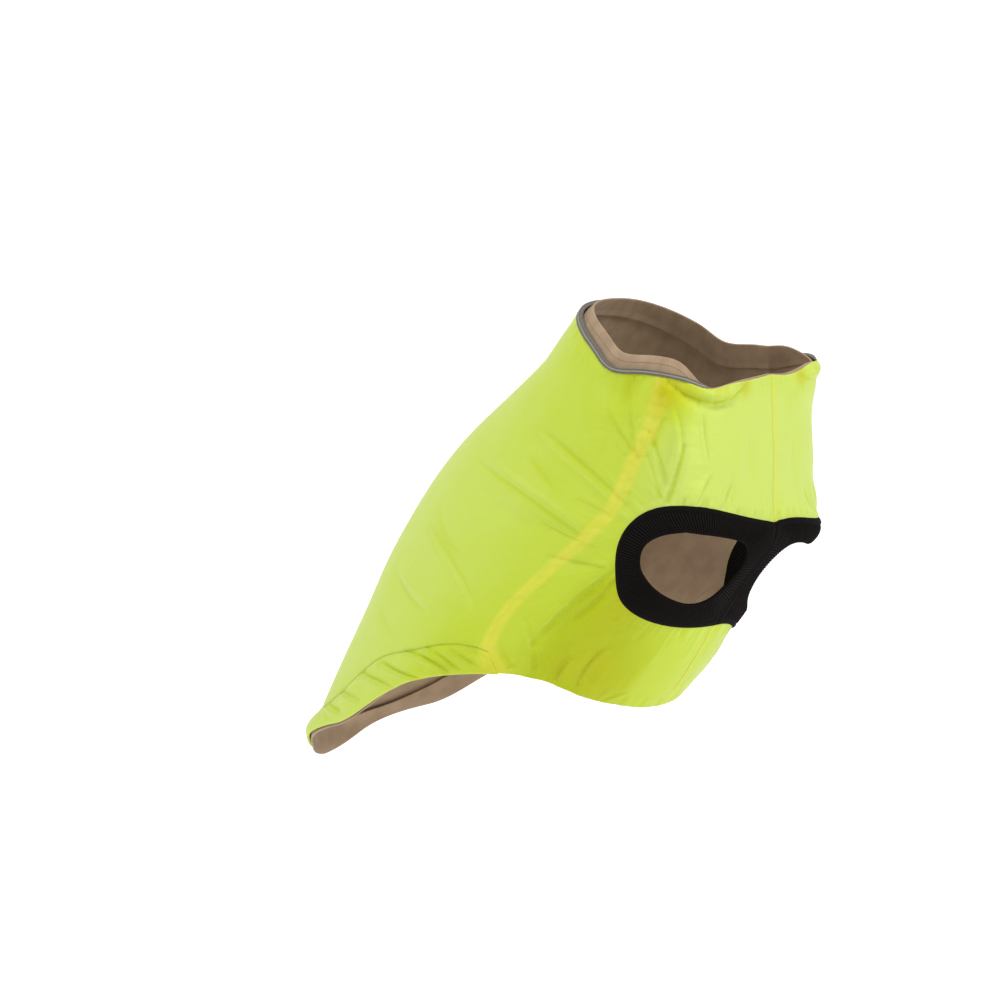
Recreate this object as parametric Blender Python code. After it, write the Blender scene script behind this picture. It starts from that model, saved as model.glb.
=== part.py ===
"""Pull-on dog jacket, hollow, in the shape it has on a seated dog.

Metres, +Z up. The dog faces +X and its right flank is at -Y.

The cloth is laid on one form, a stack of nearly level rings from the neck (level 0) to the hem
(level 1). A place on the form is (level, turn). Turn is 0 along the spine and 1 along the chest and
belly line, in equal lengths of cloth, and it is negative on the right side. Each piece is cut out by
its edges on the form, given its folds, and thickened into a wall. Lengths in the tables are
millimetres.
"""

import bpy
import bmesh
import numpy as np

MM = 0.001

# Driving sizes, in millimetres
SHELL_WALL = 2.0       # nylon, thin filling and lining
SEAM_GAP = 0.3         # between two pieces at a seam
FACING_GAP = 0.8       # between a facing and the cloth it lines
RIB_OUT = 0.9          # the rib knit stands this far out of the form
RIB_WALL = 2.4
CASING_OUT = 0.6       # the turned hem casing is a little thicker than the shell
CASING_PUFF = 1.6      # and rounds out between its stitch line and the hem
CASING_WALL = 2.6
FACING_WALL = 1.2
PIPING_THICK = 3.0     # two cords, one above the other
PIPING_TALL = 3.6
PIPING_OUT = 0.8       # the piping stands this far out of the shell
PIPING_LIFT = 0.2      # and this far above its edge, on top of the seam gap
LEVEL_LENGTH = 265.0   # length of cloth from level 0 to level 1, on the flank
TURN_LENGTH = 365.0    # length of cloth from the spine to the belly line
HOLD_LEVEL = 0.16      # where the withers carry the jacket

# The rings of the form: back and front points in the middle plane, the place and size of the
# greatest half width, and how square the back and the front half are (2 is an ellipse).
# level, back_x, back_z, front_x, front_z, wide_x, half_width, back_square, front_square
RINGS = (
    (-0.06, 25, 39, 155, 10, 110, 68, 2.2, 2.8),
    (0.00, 11, 23, 156, -4, 112, 71, 2.2, 2.9),
    (0.12, -20, -10, 157, -32, 119, 76, 2.2, 3.1),
    (0.27, -68, -50, 158, -62, 124, 79, 2.2, 3.1),
    (0.42, -106, -91, 157, -95, 122, 82, 2.2, 3.2),
    (0.51, -124, -116, 154, -115, 112, 82, 2.2, 3.1),
    (0.60, -140, -141, 139, -136, 96, 82, 2.2, 2.7),
    (0.72, -157, -174, 117, -166, 60, 81, 2.2, 2.3),
    (0.86, -181, -219, 93, -203, 8, 79, 2.2, 2.2),
    (1.00, -206, -268, 70, -232, -42, 75, 2.2, 2.2),
    (1.10, -224, -303, 52, -252, -65, 70, 2.2, 2.2),
)

# Edges of the pieces, by turn: turn, level
NECK_EDGE = (
    (0.00, -0.045), (0.15, -0.037), (0.32, -0.003), (0.39, 0.020), (0.45, 0.043), (0.54, 0.036),
    (0.64, 0.026), (0.70, 0.030), (0.75, 0.040), (0.80, 0.029), (0.87, 0.019), (1.00, 0.008),
)
CASING_EDGE = (
    (0.00, 0.957), (0.08, 0.952), (0.145, 0.938), (0.20, 0.893), (0.25, 0.838), (0.33, 0.805),
    (0.42, 0.782), (0.50, 0.784), (0.60, 0.815),
)
HEM_EDGE = (
    (0.00, 1.045), (0.05, 1.036), (0.106, 1.011), (0.157, 0.989), (0.208, 0.976), (0.254, 0.961),
    (0.30, 0.925), (0.36, 0.880), (0.43, 0.855), (0.52, 0.842), (0.62, 0.841), (0.70, 0.857),
    (0.77, 0.894), (0.82, 0.920), (0.87, 0.943), (0.93, 0.967), (1.00, 0.978),
)
# The diagonal side seam, by level: level, turn
SIDE_SEAM = (
    (0.00, 0.628), (0.12, 0.629), (0.25, 0.627), (0.35, 0.623), (0.42, 0.609), (0.51, 0.572),
    (0.60, 0.540), (0.68, 0.520), (0.745, 0.518), (0.79, 0.534), (0.83, 0.574), (0.86, 0.600),
)
# Cloth edge of the armhole, from the chest's middle over the top and behind the leg to the
# belly's middle: level, turn
ARMHOLE_EDGE = (
    (0.444, 1.000), (0.430, 0.955), (0.412, 0.900), (0.388, 0.835), (0.373, 0.775), (0.378, 0.725),
    (0.400, 0.687), (0.445, 0.660), (0.500, 0.657), (0.563, 0.682), (0.625, 0.722), (0.680, 0.780),
    (0.715, 0.850), (0.732, 0.925), (0.738, 1.000),
)
# Mouth of the rib band, a closed curve: level, turn
ARMHOLE_MOUTH = (
    (0.442, 0.775), (0.453, 0.822), (0.472, 0.880), (0.505, 0.930), (0.555, 0.953), (0.610, 0.953),
    (0.652, 0.935), (0.668, 0.893), (0.655, 0.845), (0.620, 0.790), (0.580, 0.748), (0.535, 0.714),
    (0.492, 0.706), (0.458, 0.732),
)
ARMHOLE_CENTRE = (0.555, 0.830)

# How far the neck facing stands above the neck edge: turn, height
FACING_RISE = (
    (0.00, 8.0), (0.25, 10.0), (0.45, 12.5), (0.60, 13.0), (0.66, 11.5), (0.71, 6.0), (0.76, 1.5),
    (0.85, 1.0), (1.00, 1.0),
)
FACING_LEAN = 0.22     # it leans in by this share of its height
PIPING_END = 0.750     # turn where the piping ends
RUMP_FACING_DROP = 2.2 # the rump facing shows this much below the hem

# The largest folds: from one place to another, how far the line bows sideways, half width and
# height of the fold; a trough has a negative height.
# level_0, turn_0, level_1, turn_1, bow, half_width, height
FOLDS = (
    # long creases of the back, drawn from the armhole
    (0.33, 0.215, 0.48, 0.560, 9, 9, -2.2),
    (0.29, 0.250, 0.42, 0.520, 8, 9, 1.2),
    (0.20, 0.250, 0.28, 0.470, 5, 8, -1.6),
    (0.26, 0.420, 0.46, 0.648, -5, 8, -1.7),
    (0.40, 0.470, 0.50, 0.652, -3, 7, 1.4),
    (0.53, 0.520, 0.55, 0.672, 3, 8, -1.4),
    (0.42, 0.160, 0.60, 0.380, 10, 12, 1.2),
    (0.60, 0.140, 0.72, 0.310, 8, 10, -1.6),
    (0.64, 0.340, 0.76, 0.470, 6, 9, 1.2),
    (0.08, 0.000, 0.08, 0.300, 0, 10, -1.2),
    # collar: a hollow under the piping and a ridge beside it
    (0.065, 0.430, 0.100, 0.560, 2, 8, -2.2),
    (0.050, 0.530, 0.150, 0.585, 2, 6, 1.8),
    # the front of the collar sags into a roll with a groove below it
    (0.034, 0.665, 0.034, 0.865, 7, 6, 3.0),
    (0.050, 0.660, 0.050, 0.870, 7, 4, -3.4),
    # upright folds of the chest
    (0.16, 0.700, 0.37, 0.727, 2, 7, -2.4),
    (0.14, 0.725, 0.36, 0.750, 0, 8, 1.8),
    (0.08, 0.745, 0.25, 0.768, 0, 6, -1.6),
    (0.25, 0.645, 0.36, 0.700, -2, 7, 1.8),
    (0.30, 0.780, 0.38, 0.770, 0, 6, 1.4),
    (0.28, 0.860, 0.40, 0.842, 0, 6, -1.6),
    (0.12, 0.905, 0.42, 0.925, 0, 12, -1.4),
    # the chest flares out over the rib band
    (0.43, 0.700, 0.50, 1.300, 0, 17, 2.6),
    # belly folds, fanning out from the side seam and the armhole
    (0.62, 0.700, 0.77, 0.660, 3, 9, -1.8),
    (0.76, 0.545, 0.85, 0.650, 2, 7, -1.8),
    (0.74, 0.620, 0.86, 0.680, 0, 8, 1.6),
    (0.74, 0.700, 0.87, 0.722, 0, 7, -2.0),
    (0.74, 0.765, 0.90, 0.768, 0, 8, -2.2),
    (0.76, 0.870, 0.94, 0.860, 0, 10, 1.8),
    # slanted puckers of the hem casing
    (0.90, 0.170, 0.98, 0.235, 0, 6, -1.3),
    (0.86, 0.225, 0.93, 0.290, 0, 6, -1.3),
    (0.83, 0.275, 0.88, 0.360, 0, 6, -1.5),
    (0.80, 0.335, 0.86, 0.430, 0, 6, -1.5),
    (0.785, 0.400, 0.85, 0.480, 0, 6, -1.4),
    (0.785, 0.470, 0.85, 0.545, 0, 6, -1.2),
    (0.95, 0.030, 1.04, 0.090, 0, 7, -1.0),
    # at the rump the casing stands out round and its edge turns in
    (1.005, -0.220, 1.005, 0.220, 0, 8, 4.5),
    (1.055, -0.200, 1.055, 0.200, 0, 9, -4.0),
)
LEFT_FOLD_SHIFT = 0.012    # the left side has the same folds, a little moved and shallower
LEFT_FOLD_SHARE = 0.85
LEFT_COLLAR_SHARE = 0.25   # and next to no roll at the collar, above the second of these levels
COLLAR_FADE = (0.08, 0.20)
# The left side is the same cut, drawn tighter. The front corner of its neck lies higher and its
# armhole lower, by so many levels: most, from turn, to turn, then the levels where it sets in
# (for the armhole, where it comes up and where it goes).
LEFT_NECK_RAISE, NECK_CORNER, NECK_FADE = 0.040, (0.58, 0.94), (0.02, 0.30)
LEFT_ARMHOLE_DROP, LEFT_FLANK, DROP_COMES, DROP_GOES = 0.095, (0.50, 1.00), (0.05, 0.42), (0.66, 0.96)
# and its own folds: the corner stands out, the chest lies flat, the cloth flares over the rib band
LEFT_FOLDS = (
    (0.050, 0.600, 0.050, 0.930, 0, 17, 9.5),
    (0.290, 0.640, 0.290, 0.930, 0, 18, -1.6),
    (0.395, 0.660, 0.425, 0.990, 0, 14, 4.5),
)

# Steps of the grids. A side piece is a fan of spokes from its outer edges to the armhole, counted
# along the neck, the side seam and the hem. The rows of the back panel and the casing meet it at the
# same points of the side seam.
NECK_SPOKES, BACK_ROWS, CASING_ROWS, HEM_SPOKES = 12, 22, 4, 10
SPOKE_STEPS = (0, 0.03, 0.065, 0.105, 0.16, 0.24, 0.36, 0.5, 0.66, 0.83, 1)
ARMHOLE_CORNERS = (0.32, 0.70)     # shares of the armhole where the neck's spokes and the seam's end
ROW_GROWTH = 1.25                  # the back panel's rows widen away from the neck
BACK_COLUMNS = 22                  # on each side of the spine
MIDDLE_STEPS = 8
RIB_ROWS = 3
PIPING_SIDES = 8
RUMP_ROWS, RUMP_COLUMNS = 3, 12


class Curve:
    """Natural cubic spline through the rows of a table, against its first column."""

    def __init__(self, table):
        rows = np.array(table, float)
        self.x, self.y = rows[:, 0], rows[:, 1:]
        count, gap = len(self.x), np.diff(self.x)
        matrix, right = np.eye(count), np.zeros_like(self.y)
        slope = np.diff(self.y, axis=0) / gap[:, None]
        for i in range(1, count - 1):
            matrix[i, i - 1:i + 2] = gap[i - 1], 2 * (gap[i - 1] + gap[i]), gap[i]
            right[i] = 6 * (slope[i] - slope[i - 1])
        self.bend = np.linalg.solve(matrix, right)

    def columns(self, at):
        at = np.asarray(at, float)
        i = np.clip(np.searchsorted(self.x, at) - 1, 0, len(self.x) - 2)
        gap = (self.x[i + 1] - self.x[i])[..., None]
        a = (self.x[i + 1] - at)[..., None] / gap
        b = 1 - a
        cubic = (a ** 3 - a) * self.bend[i] + (b ** 3 - b) * self.bend[i + 1]
        return a * self.y[i] + b * self.y[i + 1] + cubic * gap * gap / 6

    def __call__(self, at):
        return self.columns(at)[..., 0]


RING_CURVE = Curve(RINGS)
NECK, CASING, HEM, SEAM = Curve(NECK_EDGE), Curve(CASING_EDGE), Curve(HEM_EDGE), Curve(SIDE_SEAM)


def ring_point(level, angle):
    """Point of a ring in millimetres; the angle runs from the back over the +Y side to the front."""
    ring = np.moveaxis(RING_CURVE.columns(level), -1, 0)
    back_x, back_z, front_x, front_z, wide_x, half_width, back_square, front_square = ring
    lengthwise, sideways = np.cos(angle), np.sin(angle)
    at_back = lengthwise >= 0
    reach = np.where(at_back, wide_x - back_x, front_x - wide_x)
    square = np.where(at_back, back_square, front_square)
    shape = np.abs(lengthwise / reach) ** square + np.abs(sideways / half_width) ** square
    radius = shape ** (-1 / square)
    x = wide_x - radius * lengthwise
    z = back_z + (front_z - back_z) * (x - back_x) / (front_x - back_x)
    return np.stack([x, radius * sideways, z], -1)


def turn_angles():
    """Ring angle for each level and turn of a fine lattice, by equal lengths of cloth."""
    levels = np.linspace(RINGS[0][0], RINGS[-1][0], 117)
    turns = np.linspace(0, 1, 129)
    angles = np.linspace(0, np.pi, 721)
    lattice = []
    for level in levels:
        points = ring_point(np.full_like(angles, level), angles)
        length = np.concatenate([[0], np.cumsum(np.linalg.norm(np.diff(points, axis=0), axis=1))])
        lattice.append(np.interp(turns * length[-1], length, angles))
    return levels, turns, np.array(lattice)


LATTICE_LEVELS, LATTICE_TURNS, LATTICE_ANGLES = turn_angles()


def lattice_angle(level, turn):
    i = (level - LATTICE_LEVELS[0]) / (LATTICE_LEVELS[1] - LATTICE_LEVELS[0])
    j = np.abs(turn) / (LATTICE_TURNS[1] - LATTICE_TURNS[0])
    i = np.clip(i, 0, len(LATTICE_LEVELS) - 1.001)
    j = np.clip(j, 0, len(LATTICE_TURNS) - 1.001)
    row, column = i.astype(int), j.astype(int)
    a, b = i - row, j - column
    near = (1 - b) * LATTICE_ANGLES[row, column] + b * LATTICE_ANGLES[row, column + 1]
    far = (1 - b) * LATTICE_ANGLES[row + 1, column] + b * LATTICE_ANGLES[row + 1, column + 1]
    return (1 - a) * near + a * far


def form_point(level, turn):
    """Bare form, in millimetres."""
    level, turn = np.broadcast_arrays(np.asarray(level, float), np.asarray(turn, float))
    return ring_point(level, np.sign(turn) * lattice_angle(level, turn))


def outward(level, turn):
    """Unit normal of the form."""
    step = 0.002
    side = np.where(turn < 0, -1.0, 1.0)
    low, high = np.clip(np.abs(turn) - step, 0, 1), np.clip(np.abs(turn) + step, 0, 1)
    down = form_point(level + step, turn) - form_point(level - step, turn)
    round_ = form_point(level, side * high) - form_point(level, side * low)
    normal = np.cross(round_, down) * side[..., None]
    # the middle plane has no sideways part
    normal[..., 1] = np.where((np.abs(turn) < 1e-6) | (np.abs(turn) > 1 - 1e-6), 0, normal[..., 1])
    return normal / np.linalg.norm(normal, axis=-1, keepdims=True)


def fold_height(level, turn, fold):
    """Height of one fold: a soft ridge or trough along a bowed line, fading out at both ends."""
    level_0, turn_0, level_1, turn_1, bow, half_width, height = fold
    u, v = (level - level_0) * LEVEL_LENGTH, (turn - turn_0) * TURN_LENGTH
    along_u, along_v = (level_1 - level_0) * LEVEL_LENGTH, (turn_1 - turn_0) * TURN_LENGTH
    length = np.hypot(along_u, along_v)
    t = (u * along_u + v * along_v) / length ** 2
    inside = np.clip(t, 0, 1)
    across = (u * along_v - v * along_u) / length - bow * 4 * inside * (1 - inside)
    fade = np.sin(np.pi * inside) ** 0.8
    return height * fade * np.exp(-(across / half_width) ** 2)


def relief(level, turn):
    """Height of the folds over the form, in millimetres."""
    left = np.sin(np.pi * np.clip(turn, 0, 1))
    reach = np.abs(turn) - LEFT_FOLD_SHIFT * left
    least = LEFT_COLLAR_SHARE + (LEFT_FOLD_SHARE - LEFT_COLLAR_SHARE) * smooth_step(level, COLLAR_FADE)
    share = 1 - (1 - least) * left
    own = sum(fold_height(level, np.abs(turn), fold) for fold in LEFT_FOLDS)
    return share * sum(fold_height(level, reach, fold) for fold in FOLDS) + np.where(turn > 0, own, 0)


def smooth_step(value, ends):
    share = np.clip((value - ends[0]) / (ends[1] - ends[0]), 0, 1)
    return share * share * (3 - 2 * share)


def hump(value, ends):
    return np.sin(np.pi * np.clip((value - ends[0]) / (ends[1] - ends[0]), 0, 1)) ** 2


def settled(level, turn):
    """Level of the form where a place of the cut comes to lie; on the right side it is the same."""
    raised = LEFT_NECK_RAISE * hump(turn, NECK_CORNER) * (1 - smooth_step(level, NECK_FADE))
    reach = smooth_step(level, DROP_COMES) - smooth_step(level, DROP_GOES)
    return level - raised + LEFT_ARMHOLE_DROP * hump(turn, LEFT_FLANK) * reach


def laid(level, turn, lift):
    """Point of the worn cloth in millimetres, lifted off its outer face."""
    level, turn, lift = np.broadcast_arrays(*(np.asarray(v, float) for v in (level, turn, lift)))
    seat = settled(level, turn)
    return form_point(seat, turn) + outward(seat, turn) * (relief(level, turn) + lift)[..., None]


# The origin is on the lining where the withers carry the jacket.
HOLD_POINT = laid(HOLD_LEVEL, 0.0, -SHELL_WALL)


def patch(top, bottom, left, right, down, across):
    """Levels and turns of a grid that fills four edges, each a list of (level, turn)."""
    down, across = down[:, None, None], across[None, :, None]
    sides = (1 - across) * left[:, None] + across * right[:, None]
    ends = (1 - down) * top[None] + down * bottom[None]
    first = (1 - across) * left[0] + across * right[0]
    last = (1 - across) * left[-1] + across * right[-1]
    grid = sides + ends - (1 - down) * first - down * last
    return grid[..., 0], grid[..., 1]


def along(edge, turns):
    return np.column_stack([edge(turns), turns])


def mirrored(level, turn):
    """Both halves of a grid that begins on the spine."""
    return np.hstack([level[:, :0:-1], level]), np.hstack([-turn[:, :0:-1], turn])


def edge_line(points, share):
    """Points at shares of the cloth length along a smooth line through a table of (level, turn)."""
    table = np.array(points, float)
    chord = np.hypot(*(np.diff(table, axis=0) * (LEVEL_LENGTH, TURN_LENGTH)).T)
    at = np.concatenate([[0], np.cumsum(chord)])
    line = Curve(np.column_stack([at, table]))
    fine = line.columns(np.linspace(0, at[-1], 400))
    chord = np.hypot(*(np.diff(fine, axis=0) * (LEVEL_LENGTH, TURN_LENGTH)).T)
    length = np.concatenate([[0], np.cumsum(chord)])
    return np.column_stack([np.interp(share * length[-1], length, fine[:, k]) for k in (0, 1)])


def crossing(edge):
    """Level and turn where the side seam meets an edge."""
    level = 0.5
    for _ in range(40):
        level = float(edge(SEAM(level)))
    return level, float(SEAM(level))


def seam_line():
    """Levels and turns of the side seam at the rows of the pieces that meet there."""
    top, casing, bottom = (crossing(edge)[0] for edge in (NECK, CASING, HEM))
    upper = top + (casing - top) * np.linspace(0, 1, BACK_ROWS + 1) ** ROW_GROWTH
    level = np.concatenate([upper, np.linspace(casing, bottom, CASING_ROWS + 1)[1:]])
    return np.column_stack([level, SEAM(level)])


def spine_grid(upper, lower, seam):
    """Levels and turns of a piece that crosses the spine, from seam to seam between two edges."""
    across = np.linspace(0, 1, BACK_COLUMNS + 1)
    down = (seam[:, 0] - seam[0, 0]) / (seam[-1, 0] - seam[0, 0])
    spine = np.column_stack([(1 - down) * upper(0.0) + down * lower(0.0), np.zeros(len(seam))])
    top, bottom = along(upper, across * seam[0, 1]), along(lower, across * seam[-1, 1])
    return mirrored(*patch(top, bottom, spine, seam, down, across))


def armhole_line():
    """Points of the armhole's cloth edge, one for each spoke of the side piece."""
    spokes = NECK_SPOKES, BACK_ROWS + CASING_ROWS, HEM_SPOKES
    share = np.interp(np.arange(sum(spokes) + 1), np.cumsum((0, *spokes)), (0, *ARMHOLE_CORNERS, 1))
    return edge_line(ARMHOLE_EDGE, share)


def side_grid():
    """Levels and turns of a side piece: a row for each spoke, from the chest's middle over the neck
    edge, the side seam and the hem to the belly's middle, and columns from there to the armhole."""
    seam = seam_line()
    neck = along(NECK, np.linspace(1, seam[0, 1], NECK_SPOKES + 1))
    hem = along(HEM, np.linspace(seam[-1, 1], 1, HEM_SPOKES + 1))
    outer = np.concatenate([neck, seam[1:-1], hem])
    inward = np.array(SPOKE_STEPS)[:, None]
    grid = (1 - inward) * outer[:, None] + inward * armhole_line()[:, None]
    return grid[..., 0], grid[..., 1]


def rib_grid():
    """Levels and turns of a rib band: rows from the cloth's edge to the mouth, columns round it."""
    armhole = armhole_line()
    middle_level = np.linspace(armhole[-1, 0], armhole[0, 0], MIDDLE_STEPS + 1)[1:-1]
    outer = np.concatenate([armhole, np.column_stack([middle_level, np.ones(MIDDLE_STEPS - 1)])])
    scale = np.array([LEVEL_LENGTH, TURN_LENGTH])
    mouth = edge_line(ARMHOLE_MOUTH + ARMHOLE_MOUTH[:1], np.linspace(0, 1, 201))
    mouth = (mouth - ARMHOLE_CENTRE) * scale
    spokes = (outer - ARMHOLE_CENTRE) * scale
    mouth_angle, mouth_radius = np.arctan2(mouth[:, 1], mouth[:, 0]), np.hypot(*mouth.T)
    spoke_angle, spoke_radius = np.arctan2(spokes[:, 1], spokes[:, 0]), np.hypot(*spokes.T)
    inner_radius = np.interp(spoke_angle, *sorted_pair(mouth_angle, mouth_radius), period=2 * np.pi)
    across = np.linspace(0, 1, RIB_ROWS + 1)[:, None]
    radius = (1 - across) * spoke_radius + across * inner_radius
    grid = np.array(ARMHOLE_CENTRE) + (spokes / spoke_radius[:, None] * radius[..., None]) / scale
    return grid[..., 0], grid[..., 1]


def sorted_pair(keys, values):
    order = np.argsort(keys)
    return keys[order], values[order]


def pull_in(points, through, closed):
    """Move the border of a grid of points half a seam gap inward, square to the border and to the
    direction through the cloth, so that neighbouring pieces stay apart."""
    moved = points.copy()

    def shift(border, inner, wrap):
        line, step = points[border], points[inner] - points[border]
        if wrap:
            along = np.roll(line, -1, 0) - np.roll(line, 1, 0)
        else:
            along = np.gradient(line, axis=0)
        square = np.cross(along, through[border])
        square /= np.linalg.norm(square, axis=-1, keepdims=True)
        square *= np.sign(np.sum(square * step))
        moved[border] += SEAM_GAP / 2 * square

    shift(0, 1, closed)
    shift(-1, -2, closed)
    if not closed:
        shift((slice(None), 0), (slice(None), 1), False)
        shift((slice(None), -1), (slice(None), -2), False)
    return moved


def add_object(name, points, faces, material):
    """Closed mesh object from points in millimetres on the form; the origin is the hold point."""
    mesh = bpy.data.meshes.new(name)
    mesh.from_pydata((points - HOLD_POINT) * MM, [], faces)
    shaped = bmesh.new()
    shaped.from_mesh(mesh)
    bmesh.ops.recalc_face_normals(shaped, faces=shaped.faces)
    shaped.to_mesh(mesh)
    shaped.free()
    mesh.shade_smooth()
    mesh.set_sharp_from_angle(angle=np.radians(40))
    mesh.materials.append(material)
    obj = bpy.data.objects.new(name, mesh)
    bpy.context.scene.collection.objects.link(obj)
    return obj


def wall(name, outer, inner, material, closed=False):
    """Closed wall between two grids of points; closed joins the last column to the first."""
    through = outer - inner
    outer, inner = pull_in(outer, through, closed), pull_in(inner, through, closed)
    rows, columns = outer.shape[:2]
    count = rows * columns
    index = np.arange(count).reshape(rows, columns)
    spans = columns if closed else columns - 1
    faces = []
    for r in range(rows - 1):
        for c in range(spans):
            n = (c + 1) % columns
            quad = index[r, c], index[r, n], index[r + 1, n], index[r + 1, c]
            faces.append(quad)
            faces.append(tuple(count + i for i in reversed(quad)))
    border = []
    for c in range(spans):
        n = (c + 1) % columns
        border += [(index[0, n], index[0, c]), (index[-1, c], index[-1, n])]
    if not closed:
        for r in range(rows - 1):
            border += [(index[r, 0], index[r + 1, 0]), (index[r + 1, -1], index[r, -1])]
    faces += [(a, b, count + b, count + a) for a, b in border]
    faces = [tuple(int(i) for i in face) for face in faces]
    points = np.concatenate([outer.reshape(-1, 3), inner.reshape(-1, 3)])
    return add_object(name, points, faces, material)


def finish(name, colour, roughness):
    material = bpy.data.materials.new(name)
    material.use_nodes = True
    shader = material.node_tree.nodes["Principled BSDF"]
    shader.inputs["Base Color"].default_value = (*colour, 1)
    shader.inputs["Roughness"].default_value = roughness
    shader.inputs["Metallic"].default_value = 0
    return material


def back_panel(nylon):
    level, turn = spine_grid(NECK, CASING, seam_line()[:BACK_ROWS + 1])
    wall("back_panel", laid(level, turn, 0), laid(level, turn, -SHELL_WALL), nylon)


def side_front(side, word, nylon):
    level, turn = side_grid()
    turn = turn * side
    wall("side_front_" + word, laid(level, turn, 0), laid(level, turn, -SHELL_WALL), nylon)


def casing_grid():
    """Levels, turns and lift of the hem casing's outer face."""
    level, turn = spine_grid(CASING, HEM, seam_line()[BACK_ROWS:])
    down = np.linspace(0, 1, CASING_ROWS + 1)[:, None]
    return level, turn, CASING_OUT + CASING_PUFF * np.sin(np.pi * down) ** 0.7 + 0 * turn


def hem_casing(nylon):
    level, turn, puff = casing_grid()
    wall("hem_casing", laid(level, turn, puff), laid(level, turn, puff - CASING_WALL), nylon)


def rump_facing(lining):
    """Lies inside the last rows of the casing, and drops a little below the hem."""
    level, turn, puff = casing_grid()
    chosen = slice(BACK_COLUMNS - RUMP_COLUMNS, BACK_COLUMNS + RUMP_COLUMNS + 1)
    level, turn, puff = (grid[-RUMP_ROWS:, chosen] for grid in (level, turn, puff))
    fade = np.cos(np.linspace(-1, 1, 2 * RUMP_COLUMNS + 1) * np.pi / 2) ** 0.5
    level = np.vstack([level, level[-1] + RUMP_FACING_DROP * (0.15 + 0.85 * fade) / LEVEL_LENGTH])
    turn, puff = np.vstack([turn, turn[-1]]), np.vstack([puff, puff[-1]])
    face = puff - CASING_WALL - FACING_GAP
    wall("rump_facing", laid(level, turn, face), laid(level, turn, face - FACING_WALL), lining)


def armhole_rib(side, word, rib):
    level, turn = rib_grid()
    turn = turn * side
    outer, inner = laid(level, turn, RIB_OUT), laid(level, turn, RIB_OUT - RIB_WALL)
    # the two bands lie side by side between the legs, half a seam gap from the middle plane
    for points in (outer, inner):
        points[..., 1] = side * np.maximum(side * points[..., 1], SEAM_GAP / 2)
    wall("armhole_rib_" + word, outer, inner, rib, closed=True)


def neck_rows():
    """Levels and turns of the shell's first two rows, from the chest's middle round the right side,
    the spine and the left side."""
    back, side = spine_grid(NECK, CASING, seam_line()[:BACK_ROWS + 1]), side_grid()
    rows = []
    for sign, middle, panel in ((1, back[0], side[0]), (-1, back[1], side[1])):
        flank = panel[:NECK_SPOKES, :2].T
        rows.append(np.hstack([sign * flank, middle[:2], flank[:, ::-1]]))
    return rows


def neck_facing(lining):
    """Follows the shell's first row on the inside, and stands above the neck edge."""
    level, turn = (grid[:, :-1] for grid in neck_rows())
    rise = Curve(FACING_RISE)(np.abs(turn[0]))
    height = np.stack([rise, rise / 2, 0 * rise, 0 * rise])
    level = np.vstack([level[:1], level[:1], level]) - height / LEVEL_LENGTH
    turn = np.vstack([turn[:1], turn[:1], turn])
    face = -SHELL_WALL - FACING_GAP - FACING_LEAN * height
    wall("neck_facing", laid(level, turn, face), laid(level, turn, face - FACING_WALL), lining, closed=True)


def neck_piping(cord):
    level, turn = (grid[:1] for grid in neck_rows())
    covered = np.abs(turn[0]) < PIPING_END
    level, turn = level[:, covered], turn[:, covered]
    angle = np.linspace(0, 2 * np.pi, PIPING_SIDES + 1)[:-1, None]
    up, out = np.cos(angle), np.sin(angle)
    level = level - (PIPING_LIFT + PIPING_TALL / 2 * (1 + up)) / LEVEL_LENGTH
    lift = PIPING_OUT + PIPING_THICK / 2 * (out - 1)
    points = laid(level, np.broadcast_to(turn, level.shape), lift)
    sides, columns = level.shape
    index = np.arange(sides * columns).reshape(sides, columns)
    faces = [tuple(int(i) for i in index[:, 0]), tuple(int(i) for i in index[::-1, -1])]
    for s in range(sides):
        n = (s + 1) % sides
        for c in range(columns - 1):
            faces.append(tuple(int(i) for i in (index[s, c], index[n, c], index[n, c + 1], index[s, c + 1])))
    add_object("neck_piping", points.reshape(-1, 3), faces, cord)


def build():
    for obj in list(bpy.data.objects):
        bpy.data.objects.remove(obj, do_unlink=True)
    nylon = finish("neon nylon", (0.58, 0.72, 0.08), 0.45)
    rib = finish("black rib knit", (0.012, 0.011, 0.013), 0.85)
    lining = finish("beige lining", (0.42, 0.34, 0.27), 0.8)
    cord = finish("grey piping", (0.12, 0.115, 0.11), 0.6)
    back_panel(nylon)
    hem_casing(nylon)
    for side, word in ((-1, "right"), (1, "left")):
        side_front(side, word, nylon)
        armhole_rib(side, word, rib)
    neck_facing(lining)
    neck_piping(cord)
    rump_facing(lining)


build()
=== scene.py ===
"""Looks of the pull-on dog jacket: neon nylon, black rib knit, beige lining and grey piping.

Metres, +Z up. The wearer would face +X, with its right flank at -Y. The cloth is laid on the same
form as in the part's own source: a place on it is (level, turn), level 0 at the neck and 1 at the
hem, turn 0 along the spine and 1 along the chest and belly line, negative on the right side. Here the
form carries the finer creases too. Lengths in the tables are millimetres.
"""

import bmesh
import bpy
import numpy as np
from mathutils import Matrix, Vector

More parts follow.
